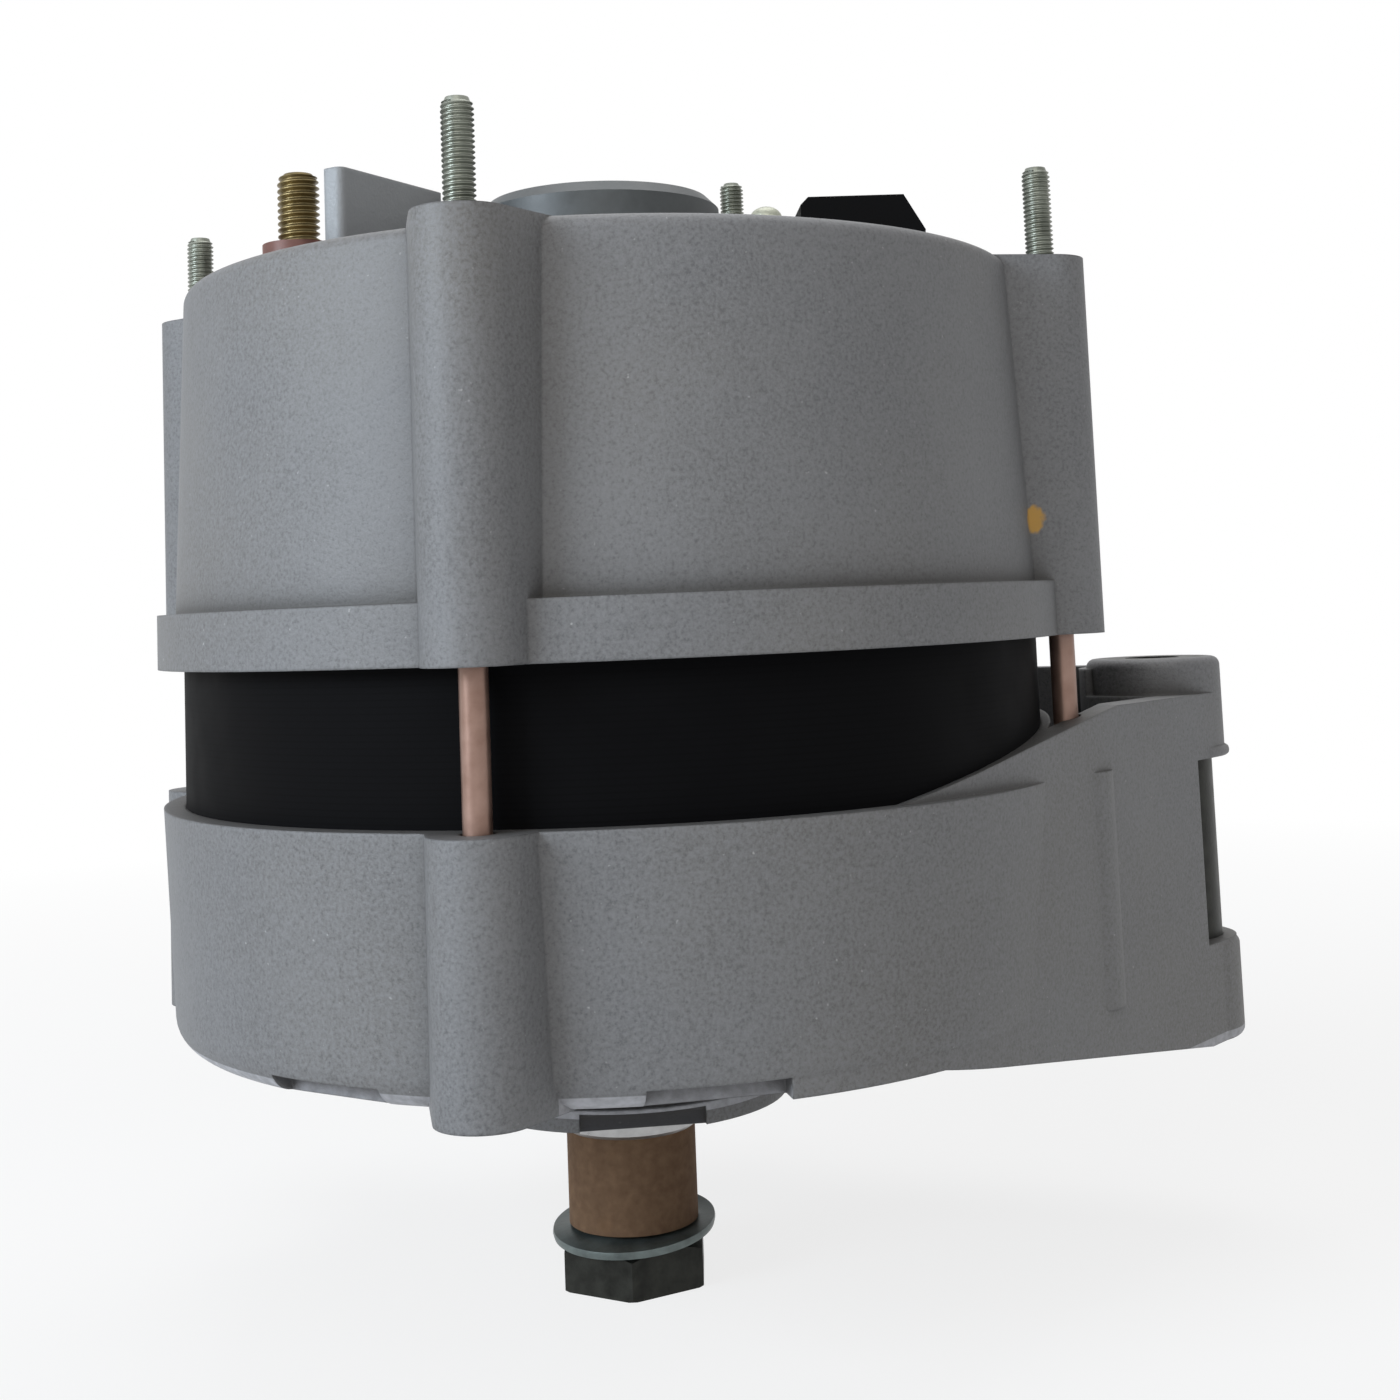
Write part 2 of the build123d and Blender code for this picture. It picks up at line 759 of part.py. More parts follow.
# ---------------------------------------------------------------- bearings
def bearing(prefix, bore_r, outer_r, z0, width, ball_r, balls):
    """Sealed deep-groove ball bearing: two races, two seals, the balls and the cage."""
    pitch_r = (bore_r + outer_r) / 2
    mid_z = z0 + width / 2
    wall = race_t_share * (outer_r - bore_r)
    shoulder_in = bore_r + wall
    shoulder_out = outer_r - wall
    groove_r = ball_r + ball_play
    for race_in, race_out, label in (
        (bore_r + fit, shoulder_in, "inner"),
        (shoulder_out, outer_r - fit, "outer"),
    ):
        with BuildPart() as race:
            add(ring_part(race_out, race_in, z0, z0 + width))
            with BuildSketch(Plane.XZ):
                with Locations((pitch_r, mid_z)):
                    Circle(groove_r)
            revolve(axis=Axis.Z, mode=Mode.SUBTRACT)
        save(race.part, f"{prefix}_bearing_{label}_race")
    with BuildPart() as seals:
        add(ring_part(shoulder_out - fit, shoulder_in + running, z0, z0 + seal_t))
        add(
            ring_part(
                shoulder_out - fit, shoulder_in + running, z0 + width - seal_t, z0 + width
            )
        )
    save(seals.part, f"{prefix}_bearing_seals")
    with BuildPart() as ball_set:
        with Locations((0, 0, mid_z)):
            with PolarLocations(pitch_r, balls):
                Sphere(ball_r)
    save(ball_set.part, f"{prefix}_bearing_balls")
    with BuildPart() as cage:
        add(
            ring_part(
                pitch_r + cage_t / 2,
                pitch_r - cage_t / 2,
                mid_z - ball_r * cage_h_share,
                mid_z + ball_r * cage_h_share,
            )
        )
        with Locations((0, 0, mid_z)):
            with PolarLocations(pitch_r, balls):
                Cylinder(
                    ball_r + cage_play, 3 * cage_t, rotation=(0, 90, 0), mode=Mode.SUBTRACT
                )
    save(cage.part, f"{prefix}_bearing_cage")


bearing(
    "front",
    shaft_r,
    front_bearing_r,
    front_bearing_z,
    front_bearing_w,
    front_ball_r,
    front_ball_count,
)
bearing(
    "rear",
    rear_journal_r,
    rear_bearing_r,
    rear_bearing_z,
    rear_bearing_w,
    rear_ball_r,
    rear_ball_count,
)

retainer_spots = [
    polar(retainer_screw_circle_r, 45 + i * 360 / retainer_screw_count, front_bearing_top_z)
    for i in range(retainer_screw_count)
]
with BuildPart() as bearing_retainer:
    with BuildSketch(Plane.XY.offset(front_bearing_top_z)):
        Circle(retainer_r)
        Circle(retainer_bore_r, mode=Mode.SUBTRACT)
        with PolarLocations(retainer_screw_circle_r, retainer_screw_count, start_angle=45):
            Circle(retainer_screw_r + fit, mode=Mode.SUBTRACT)
    extrude(amount=retainer_t)
save(bearing_retainer.part, "bearing_retainer")

with BuildPart() as retainer_screws:
    with Locations([(x, y, z + retainer_t) for x, y, z in retainer_spots]):
        Cylinder(
            retainer_screw_r,
            retainer_screw_len,
            align=(Align.CENTER, Align.CENTER, Align.MAX),
        )
        Cylinder(
            retainer_head_r,
            retainer_head_h,
            align=(Align.CENTER, Align.CENTER, Align.MIN),
        )
save(retainer_screws.part, "retainer_screws")

with BuildPart() as bearing_cap:
    with BuildSketch(Plane.XZ):
        Polygon(
            (rear_collar_r + fit, rear_rim_z),
            (cap_r, rear_rim_z),
            (cap_r, cap_top_z),
            (0, cap_top_z),
            (0, cap_top_z - cap_t),
            (rear_collar_r + fit, cap_top_z - cap_t),
            align=None,
        )
        chamfer(vertices().group_by(Axis.Y)[-1].sort_by(Axis.X)[-1], cap_bevel)
    revolve(axis=Axis.Z)
save(bearing_cap.part, "rear_bearing_cap")

# ---------------------------------------------------------------- rotor
with BuildPart() as rotor_shaft:
    with BuildSketch(Plane.XZ):
        Polygon(
            (0, shaft_end_z),
            (shaft_thread_r - 1.2, shaft_end_z),
            (shaft_thread_r, shaft_end_z + 1.2),
            (shaft_thread_r, shaft_thread_top_z),
            (shaft_r, shaft_thread_top_z),
            (shaft_r, front_bearing_top_z),
            (rotor_seat_r, front_bearing_top_z),
            (rotor_seat_r, slip_hub_z),
            (slip_seat_r, slip_hub_z),
            (slip_seat_r, rear_bearing_z),
            (rear_journal_r, rear_bearing_z),
            (rear_journal_r, rear_bearing_top_z + 1),
            (0, rear_bearing_top_z + 1),
            align=None,
        )
    revolve(axis=Axis.Z)
    # Keyway under the pulley seat
    with Locations((shaft_r, 0, -keyway_len / 2 - 1)):
        Box(2 * keyway_depth, keyway_w, keyway_len, mode=Mode.SUBTRACT)
save(rotor_shaft.part, "rotor_shaft")


def claw_pole(name, base_z, way, turn):
    """Half of the rotor iron: a disc with half the core and its ring of claws."""
    tip_z = base_z + way * (pole_len - claw_tip_gap)
    disc_z = base_z + way * pole_disc_t
    with BuildPart() as claws:
        with BuildSketch(Plane.XY.offset(base_z)):
            Circle(pole_disc_r)
        extrude(amount=way * pole_disc_t)
        for i in range(claw_count):
            spot = Location((0, 0, 0), (0, 0, turn + i * 360 / claw_count))
            with BuildSketch(Plane.XY.offset(base_z)):
                with Locations(spot):
                    with Locations((rotor_r / 2 + 2, 0)):
                        Rectangle(rotor_r + 4, claw_root_w)
            with BuildSketch(Plane.XY.offset(tip_z)):
                with Locations(spot):
                    with Locations((rotor_r / 2 + 2, 0)):
                        Rectangle(rotor_r + 4, claw_tip_w)
            loft()
    with BuildPart() as pole:
        with BuildSketch(Plane.XZ):
            Polygon(
                (0, base_z),
                (rotor_r - 1.0, base_z),
                (rotor_r, base_z + way * 1.0),
                (rotor_r, tip_z - way * 1.0),
                (rotor_r - 1.0, tip_z),
                (rotor_r - claw_tip_t, tip_z),
                (pole_disc_r + 2.5, disc_z),
                (0, disc_z),
                align=None,
            )
        revolve(axis=Axis.Z)
        add(claws.part, mode=Mode.INTERSECT)
        with Locations((0, 0, (base_z + rotor_mid_z) / 2)):
            Cylinder(pole_core_r, pole_len / 2 - fit)
        with Locations((0, 0, (base_z + rotor_mid_z) / 2)):
            Cylinder(rotor_seat_r + fit, 2 * pole_len, mode=Mode.SUBTRACT)
    save(pole.part, name)


claw_pole("claw_pole_front", pole_bottom_z, 1, 0)
claw_pole("claw_pole_rear", pole_top_z, -1, 180 / claw_count)

coil_bottom_z = pole_bottom_z + pole_disc_t + fit
coil_top_z = pole_top_z - pole_disc_t - fit
with BuildPart() as coil_bobbin:
    add(ring_part(pole_core_r + fit + bobbin_wall, pole_core_r + fit, coil_bottom_z, coil_top_z))
    for z in (coil_bottom_z, coil_top_z - bobbin_wall):
        add(ring_part(coil_r, pole_core_r + fit, z, z + bobbin_wall))
save(coil_bobbin.part, "coil_bobbin")

with BuildPart() as field_coil:
    add(
        ring_part(
            coil_r - 0.6,
            pole_core_r + 2 * fit + bobbin_wall,
            coil_bottom_z + bobbin_wall + fit,
            coil_top_z - bobbin_wall - fit,
        )
    )
save(field_coil.part, "field_coil")

with BuildPart() as slip_ring_hub:
    add(ring_part(slip_hub_r, slip_seat_r + fit, slip_hub_z, slip_hub_top_z))
    for z in (
        slip_hub_z,
        slip_ring_lower_z + slip_ring_w + fit,
        slip_ring_upper_z + slip_ring_w + fit,
    ):
        top = {slip_hub_z: slip_ring_lower_z - fit}.get(
            z, min(z + slip_ring_gap - 2 * fit, slip_hub_top_z)
        )
        add(ring_part(slip_ring_r - 1.0, slip_seat_r + fit, z, top))
save(slip_ring_hub.part, "slip_ring_hub")

for z, name in ((slip_ring_lower_z, "slip_ring_lower"), (slip_ring_upper_z, "slip_ring_upper")):
    slip_ring = ring_part(slip_ring_r, slip_hub_r + fit, z, z + slip_ring_w, 0.5)
    save(slip_ring, name)

save(ring_part(ring_r, shaft_r + fit, 0, front_bearing_z - fit, 0.6), "spacer_ring")
save(ring_part(sleeve_r, shaft_r + fit, -sleeve_len, -fit), "transport_sleeve")

with BuildPart() as spring_washer:
    with BuildSketch(Plane.XZ):
        Polygon(
            (shaft_thread_r + 0.3, -sleeve_len - washer_dish),
            (washer_r, -sleeve_len - fit),
            (washer_r, -sleeve_len - fit - washer_t),
            (shaft_thread_r + 0.3, -sleeve_len - washer_dish - washer_t),
            align=None,
        )
    revolve(axis=Axis.Z)
save(spring_washer.part, "spring_washer")

nut_top_z = -sleeve_len - washer_dish - washer_t - fit
with BuildPart() as shaft_nut:
    with BuildSketch(Plane.XY.offset(nut_top_z - nut_h)):
        RegularPolygon(nut_across_flats / 2, 6, major_radius=False, rotation=nut_turn)
        Circle(shaft_thread_r + fit, mode=Mode.SUBTRACT)
    extrude(amount=nut_h)
    with BuildSketch(Plane.XZ):
        Polygon(
            (0, nut_top_z - nut_h),
            (nut_across_flats / 2 - 0.3, nut_top_z - nut_h),
            (nut_across_flats / 2 + 2.2, nut_top_z - nut_h + nut_chamfer),
            (nut_across_flats / 2 + 2.2, nut_top_z),
            (0, nut_top_z),
            align=None,
        )
    revolve(axis=Axis.Z, mode=Mode.INTERSECT)
save(shaft_nut.part, "shaft_nut")

# ---------------------------------------------------------------- brush gear
brush_plane = Plane(origin=(0, 0, 0), x_dir=polar(1, brush_angle), z_dir=(0, 0, 1))
brush_in_x = slip_ring_r + running
brush_out_x = brush_in_x + brush_len
spring_out_x = brush_out_x + spring_len
box_out_x = spring_out_x + brush_box_wall
lower_brush_z = slip_ring_lower_z + slip_ring_w / 2
upper_brush_z = slip_ring_upper_z + slip_ring_w / 2
box_bottom_z = lower_brush_z - brush_h / 2 - brush_box_wall
box_top_z = upper_brush_z + brush_h / 2 + brush_box_wall
riser_in_x = riser_x - riser_len / 2
riser_out_x = riser_x + riser_len / 2
flange_z = rear_rim_z


def brush_axis(z):
    """Plane across a brush: its normal runs outwards along the brush."""
    direction = Vector(*polar(1, brush_angle))
    return Plane(origin=(0, 0, z), x_dir=direction.rotate(Axis.Z, 90), z_dir=direction)


with BuildPart() as brush_holder:
    # Box for the two brushes
    with BuildSketch(brush_plane.offset(box_bottom_z)):
        with Locations(((slip_ring_r + holder_gap + riser_out_x) / 2, 0)):
            Rectangle(riser_out_x - slip_ring_r - holder_gap, brush_w + 2 * brush_box_wall)
    extrude(amount=box_top_z - box_bottom_z)
    # Riser through the opening in the shield, and the flange on top of it
    with BuildSketch(brush_plane.offset(box_bottom_z)):
        with Locations((riser_x, 0)):
            Rectangle(riser_len, holder_w)
    extrude(amount=flange_z - box_bottom_z)
    with BuildSketch(brush_plane.offset(flange_z)):
        with Locations(((cover_in_x + cover_out_x) / 2, 0)):
            RectangleRounded(cover_out_x - cover_in_x, cover_w, 1.5)
        with Locations((holder_block_x, 0)):
            SlotOverall(holder_screw_span + 2 * flange_ear_r, 2 * flange_ear_r, rotation=90)
        with Locations(
            (holder_block_x, holder_screw_span / 2), (holder_block_x, -holder_screw_span / 2)
        ):
            Circle(holder_screw_r + fit, mode=Mode.SUBTRACT)
    extrude(amount=flange_t)
    for z in (lower_brush_z, upper_brush_z):
        with BuildSketch(brush_axis(z).offset(slip_ring_r)):
            Rectangle(brush_w + 2 * brush_clear, brush_h + 2 * brush_clear)
        extrude(amount=spring_out_x - slip_ring_r, mode=Mode.SUBTRACT)
save(brush_holder.part, "brush_holder")

for z, side in ((lower_brush_z, "lower"), (upper_brush_z, "upper")):
    with BuildPart() as brush:
        with BuildSketch(brush_axis(z).offset(brush_in_x)):
            Rectangle(brush_w, brush_h)
        extrude(amount=brush_len)
    save(brush.part, f"brush_{side}")

    pitch = (spring_len - 2 * spring_wire_r - 2 * fit) / spring_turns
    start = brush_axis(z).offset(brush_out_x + fit + spring_wire_r)
    with BuildPart() as brush_spring:
        with BuildLine():
            coil = Helix(
                pitch,
                pitch * spring_turns,
                spring_r - spring_wire_r,
                center=start.origin,
                direction=start.z_dir,
            )
        with BuildSketch(Plane(origin=coil @ 0, z_dir=coil % 0)):
            Circle(spring_wire_r)
        sweep(path=coil, is_frenet=True)
    save(brush_spring.part, f"brush_spring_{side}")

# ---------------------------------------------------------------- regulator cover
cover_z = flange_z + flange_t
cover_side = Vector(1, 0, 0).rotate(Axis.Z, cover_turn)
cover_mid = Vector(*polar((cover_in_x + cover_out_x) / 2, brush_angle))
cover_plane = Plane(
    origin=cover_mid + Vector(0, 0, cover_z + fit), x_dir=cover_side, z_dir=cover_side.cross(Vector(0, 0, 1))
)
with BuildPart() as regulator_cover:
    with BuildSketch(cover_plane):
        Polygon(
            (-cover_len / 2, 0),
            (cover_len / 2 - 1.5, 0),
            (cover_len / 2, cover_h * 0.6),
            (cover_len / 2 - cover_bevel, cover_h),
            (-cover_len / 2 + 1.5, cover_h),
            (-cover_len / 2, cover_h - 1.5),
            align=None,
        )
    extrude(amount=cover_depth / 2, both=True)
save(regulator_cover.part, "regulator_cover")

with BuildPart() as holder_screws:
    for side in (1, -1):
        with BuildSketch(brush_plane.offset(flange_z + flange_t)):
            with Locations((holder_block_x, side * holder_screw_span / 2)):
                Circle(holder_screw_r)
        extrude(amount=-(flange_t + rear_face_t + 1.5))
        with BuildSketch(brush_plane.offset(flange_z + flange_t)):
            with Locations((holder_block_x, side * holder_screw_span / 2)):
                Circle(holder_screw_head_r)
        extrude(amount=holder_screw_head_h)
save(holder_screws.part, "holder_screws")

# ---------------------------------------------------------------- rectifier


def sink_plan(extra_holes):
    """Horseshoe plate with holes for its screws and for what passes through."""
    with BuildSketch() as plan:
        Circle(sink_out_r)
        Circle(sink_in_r, mode=Mode.SUBTRACT)
        with BuildLine():
            Line((0, 0), polar(90, sink_start - 360 + sink_sweep)[:2])
            Line(polar(90, sink_start - 360 + sink_sweep)[:2], polar(110, mid_gap)[:2])
            Line(polar(110, mid_gap)[:2], polar(90, sink_start)[:2])
            Line(polar(90, sink_start)[:2], (0, 0))
        make_face(mode=Mode.SUBTRACT)
        with Locations([polar(sink_post_at, a)[:2] for a in sink_post_angles]):
            Circle(sink_screw_r + fit, mode=Mode.SUBTRACT)
        for x, y, r in extra_holes:
            with Locations((x, y)):
                Circle(r, mode=Mode.SUBTRACT)
    return plan.sketch


mid_gap = (sink_start + sink_start - 360 + sink_sweep) / 2
upper_diodes = [polar(diode_circle_r, a) for a in upper_diode_angles]
lower_diodes = [polar(diode_circle_r, a) for a in lower_diode_angles]
main_hole = (terminal_x, terminal_y)
small_hole = (small_terminal_x, small_terminal_y)

with BuildPart() as negative_heat_sink:
    with BuildSketch(Plane.XY.offset(upper_sink_z)):
        add(
            sink_plan(
                [(x, y, diode_r + fit) for x, y, _ in upper_diodes]
                + [(*main_hole, terminal_bush_r + fit), (*small_hole, small_terminal_r + 1)]
            )
        )
    extrude(amount=sink_t)
save(negative_heat_sink.part, "negative_heat_sink")

with BuildPart() as positive_heat_sink:
    with BuildSketch(Plane.XY.offset(lower_sink_z)):
        add(
            sink_plan(
                [(x, y, diode_r + fit) for x, y, _ in lower_diodes]
                + [(*main_hole, terminal_r + fit), (*small_hole, small_terminal_r + 1)]
            )
        )
    extrude(amount=sink_t)
save(positive_heat_sink.part, "positive_heat_sink")

for spots, z, name in (
    (upper_diodes, upper_sink_z, "negative_diodes"),
    (lower_diodes, lower_sink_z, "positive_diodes"),
):
    with BuildPart() as diodes:
        with Locations([(x, y, z + sink_t) for x, y, _ in spots]):
            Cylinder(diode_r, diode_h, align=(Align.CENTER, Align.CENTER, Align.MAX))
            Cylinder(
                diode_lead_r,
                diode_h + diode_lead_h,
                align=(Align.CENTER, Align.CENTER, Align.MAX),
            )
    save(diodes.part, name)

post_spots = [polar(sink_post_at, a) for a in sink_post_angles]
with BuildPart() as sink_insulators:
    with Locations([(x, y, lower_sink_z + sink_t + fit) for x, y, _ in post_spots]):
        Cylinder(
            sink_post_r,
            upper_sink_z - lower_sink_z - sink_t - 2 * fit,
            align=(Align.CENTER, Align.CENTER, Align.MIN),
        )
    with Locations([(x, y, lower_sink_z - fit) for x, y, _ in post_spots]):
        Cylinder(sink_post_r, 1.2, align=(Align.CENTER, Align.CENTER, Align.MAX))
    with Locations([(x, y, lower_sink_z - 2) for x, y, _ in post_spots]):
        Cylinder(
            sink_screw_r + fit,
            upper_sink_z - lower_sink_z + 2,
            align=(Align.CENTER, Align.CENTER, Align.MIN),
            mode=Mode.SUBTRACT,
        )
save(sink_insulators.part, "sink_insulators")

with BuildPart() as sink_screws:
    with Locations([(x, y, lower_sink_z - 1.2 - 2 * fit) for x, y, _ in post_spots]):
        Cylinder(
            sink_screw_r,
            negative_sink_top_z + 7 - lower_sink_z,
            align=(Align.CENTER, Align.CENTER, Align.MIN),
        )
        Cylinder(
            sink_screw_head_r,
            sink_screw_head_h,
            align=(Align.CENTER, Align.CENTER, Align.MAX),
        )
save(sink_screws.part, "sink_screws")

# ---------------------------------------------------------------- terminals
with BuildPart() as main_terminal:
    with Locations((*main_hole, rear_rim_z + terminal_bush_h)):
        Cylinder(
            terminal_r,
            terminal_stick_out - terminal_bush_h,
            align=(Align.CENTER, Align.CENTER, Align.MIN),
        )
    with Locations((*main_hole, lower_sink_z - fit)):
        Cylinder(
            terminal_shank_r,
            rear_rim_z + terminal_bush_h - lower_sink_z + fit,
            align=(Align.CENTER, Align.CENTER, Align.MIN),
        )
    with Locations((*main_hole, lower_sink_z - fit)):
        Cylinder(
            terminal_r + 2.2,
            terminal_head_h,
            align=(Align.CENTER, Align.CENTER, Align.MAX),
        )
save(main_terminal.part, "main_terminal_stud")

with BuildPart() as main_bush:
    with Locations((*main_hole, lower_sink_z + sink_t + fit)):
        Cylinder(
            terminal_bush_r,
            rear_rim_z + terminal_bush_h - lower_sink_z - sink_t - fit,
            align=(Align.CENTER, Align.CENTER, Align.MIN),
        )
    with Locations((*main_hole, rear_rim_z + fit)):
        Cylinder(
            terminal_bush_r + 1.6, 3.0, align=(Align.CENTER, Align.CENTER, Align.MIN)
        )
    with Locations((*main_hole, lower_sink_z)):
        Cylinder(
            terminal_r + fit,
            rear_rim_z,
            align=(Align.CENTER, Align.CENTER, Align.MIN),
            mode=Mode.SUBTRACT,
        )
save(main_bush.part, "main_terminal_bush")

for at, r, bush_r, bush_h, stick_out, nut_at, name in (
    (
        small_hole,
        small_terminal_r,
        small_bush_r,
        small_bush_h,
        small_terminal_stick_out,
        small_bush_h,
        "field",
    ),
    (
        (phase_terminal_x, phase_terminal_y),
        phase_terminal_r,
        phase_bush_r,
        phase_bush_h,
        phase_stick_out,
        phase_bush_h,
        "phase",
    ),
):
    bush_bottom_z = rear_face_z - 2.0
    with BuildPart() as bush:
        with Locations((*at, bush_bottom_z)):
            Cylinder(
                bush_r,
                rear_rim_z + bush_h - bush_bottom_z,
                align=(Align.CENTER, Align.CENTER, Align.MIN),
            )
            Cylinder(
                r + fit,
                rear_rim_z,
                align=(Align.CENTER, Align.CENTER, Align.MIN),
                mode=Mode.SUBTRACT,
            )
    save(bush.part, f"{name}_terminal_bush")
    with BuildPart() as stud:
        with Locations((*at, bush_bottom_z - fit)):
            Cylinder(
                r - small_shank_step,
                rear_rim_z + bush_h - bush_bottom_z + fit,
                align=(Align.CENTER, Align.CENTER, Align.MIN),
            )
            Cylinder(bush_r - 0.5, 2.5, align=(Align.CENTER, Align.CENTER, Align.MAX))
        with Locations((*at, rear_rim_z + bush_h)):
            Cylinder(
                r - nut_recess,
                small_nut_h + fit,
                align=(Align.CENTER, Align.CENTER, Align.MIN),
            )
        with Locations((*at, rear_rim_z + bush_h + small_nut_h + fit)):
            Cylinder(
                r,
                stick_out - bush_h - small_nut_h - fit,
                align=(Align.CENTER, Align.CENTER, Align.MIN),
            )
    save(stud.part, f"{name}_terminal_stud")
    with BuildPart() as nut:
        with BuildSketch(Plane.XY.offset(rear_rim_z + nut_at + fit)):
            with Locations(at):
                RegularPolygon(small_nut_across_flats / 2, 6, major_radius=False)
                Circle(r - nut_recess + fit, mode=Mode.SUBTRACT)
        extrude(amount=small_nut_h)
    save(nut.part, f"{name}_terminal_nut")
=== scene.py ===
import json
from math import cos, pi, radians, sin

import bmesh
import bpy
from mathutils import Matrix, Vector


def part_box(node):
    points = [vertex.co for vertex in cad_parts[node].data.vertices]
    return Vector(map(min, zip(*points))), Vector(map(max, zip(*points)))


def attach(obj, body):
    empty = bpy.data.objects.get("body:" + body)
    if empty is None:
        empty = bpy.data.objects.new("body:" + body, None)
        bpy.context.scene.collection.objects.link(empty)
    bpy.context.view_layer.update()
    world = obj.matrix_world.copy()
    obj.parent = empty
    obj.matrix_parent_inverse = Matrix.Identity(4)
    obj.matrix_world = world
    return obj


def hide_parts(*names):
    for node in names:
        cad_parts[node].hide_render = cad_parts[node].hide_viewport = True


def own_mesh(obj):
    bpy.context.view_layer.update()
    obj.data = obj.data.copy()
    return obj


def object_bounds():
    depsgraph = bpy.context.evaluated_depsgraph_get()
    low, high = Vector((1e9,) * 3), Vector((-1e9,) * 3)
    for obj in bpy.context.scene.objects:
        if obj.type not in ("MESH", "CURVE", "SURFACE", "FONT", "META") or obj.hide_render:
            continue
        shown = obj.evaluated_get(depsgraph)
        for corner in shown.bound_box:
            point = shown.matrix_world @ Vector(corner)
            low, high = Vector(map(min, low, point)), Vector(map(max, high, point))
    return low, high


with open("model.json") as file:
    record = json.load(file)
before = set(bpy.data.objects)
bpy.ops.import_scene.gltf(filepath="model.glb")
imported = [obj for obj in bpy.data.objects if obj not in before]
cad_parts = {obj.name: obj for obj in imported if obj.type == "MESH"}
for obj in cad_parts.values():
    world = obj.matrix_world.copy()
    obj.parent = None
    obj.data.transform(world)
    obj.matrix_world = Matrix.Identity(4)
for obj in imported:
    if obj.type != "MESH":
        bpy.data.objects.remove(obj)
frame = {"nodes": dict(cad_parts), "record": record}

cad_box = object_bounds()
nodes = frame["nodes"]
record = frame["record"]
mounts = {mount["name"]: mount for mount in record["mounts"]}

# Lengths are in mm where they build a mesh or place the camera, and in metres in lamps and materials
MM = 0.001
UP = Vector((0, 0, 1))

# Places on the two cast shields for trim, painted highlights, painted light and painted shade, in metres
SHIELD_FACE_Z = 0.021
NOTCH_H = 0.003
NOTCH_IN_R, NOTCH_OUT_R = 0.0705, 0.077
HUB_Z = 0.0055
HUB_LIP_H = 0.0036
GUARD_LIT_Z = 0.1503

# Through bolts
BOLT_CIRCLE_R = mounts["rear_bolt_ends"]["dims"]["pcd_mm"] / 2
BOLT_COUNT = mounts["rear_bolt_ends"]["dims"]["count"]
FIRST_BOLT_ANGLE = -114
BOLT_THREAD_LEN = 38
BOLT_R, BOLT_SHANK_R, BOLT_CORE_R = 2.48, 2.15, 2.1
BOLT_HEAD_R, BOLT_HEAD_H = 4.2, 3.6
BOLT_PITCH, BOLT_THREAD_DEPTH = 0.8, 0.42

# Shaft nut and washer. NUT_DROP and NUT_RISE are how far the nut stands out past the CAD one
CAMERA_SIDE = radians(-99.5)
NUT_ACROSS, NUT_BORE_R = 24.0, 8.1
NUT_FLAT_ANGLE = radians(-72.3)
NUT_DROP, NUT_RISE = 1.3, 0.5
WASHER_BORE_R = 8.4

# Brush springs
BRUSH_ANGLE = radians(11.5)
SPRING_LEN, SPRING_R, SPRING_WIRE_R, SPRING_TURNS = 8.9, 1.55, 0.45, 5


# ---------------------------------------------------------------- materials
class Shade:
    """A node material with short helpers for its graph."""

    def __init__(self, name):
        self.mat = bpy.data.materials.new(name)
        self.mat.use_nodes = True
        self.tree = self.mat.node_tree
        self.bsdf = self.tree.nodes["Principled BSDF"]
        self.coord = self.tree.nodes.new("ShaderNodeTexCoord").outputs["Object"]

    def node(self, kind, inputs=(), **props):
        """A node whose inputs are values or other nodes' outputs."""
        made = self.tree.nodes.new("ShaderNode" + kind)
        for key, value in props.items():
            setattr(made, key, value)
        self.feed(made, dict(inputs))
        return made

    def feed(self, made, inputs):
        """Set or link a node's inputs, by name or number."""
        for key, value in inputs.items():
            if hasattr(value, "is_output"):
                self.tree.links.new(value, made.inputs[key])
            else:
                made.inputs[key].default_value = value

    def noise(self, scale, detail=3.0, rough=0.55):
        inputs = {"Vector": self.coord, "Scale": scale, "Detail": detail, "Roughness": rough}
        return self.node("TexNoise", inputs).outputs["Fac"]

    def axes(self):
        """The three coordinates of the point."""
        return self.node("SeparateXYZ", {"Vector": self.coord}).outputs

    def ramp(self, fac, low, high, a=0.0, b=1.0):
        """a at low, b at high, straight between them and level outside."""
        inputs = {"Value": fac, "From Min": low, "From Max": high, "To Min": a, "To Max": b}
        return self.node("MapRange", inputs, clamp=True).outputs["Result"]

    def math(self, op, a, b=0.0):
        return self.node("Math", {0: a, 1: b}, operation=op).outputs[0]

    def band(self, value, low, high, edge=0.0001):
        """1 between low and high, 0 outside."""
        return self.math("MULTIPLY", self.ramp(value, low - edge, low), self.ramp(value, high + edge, high))

    def line(self, value, half_width):
        """1 in the middle of each whole step of value, 0 away from it."""
        off = self.math("ABSOLUTE", self.math("SUBTRACT", self.math("FRACT", value), 0.5))
        return self.ramp(off, half_width, 0.0)

    def mix(self, fac, a, b):
        """Colour a where fac is 0 and b where it is 1."""
        made = self.node("Mix", data_type="RGBA")
        self.feed(made, {0: fac, 6: a, 7: b})
        return made.outputs[2]

    def link(self, value, name):
        self.tree.links.new(value, self.bsdf.inputs[name])

    def bump(self, height, strength, distance, under=None):
        """Relief on the surface, over the normal that it is given."""
        inputs = {"Height": height, "Strength": strength, "Distance": distance}
        if under is not None:
            inputs["Normal"] = under
        out = self.node("Bump", inputs).outputs["Normal"]
        self.link(out, "Normal")
        return out


def rgb(r, g, b):
    return (r, g, b, 1.0)


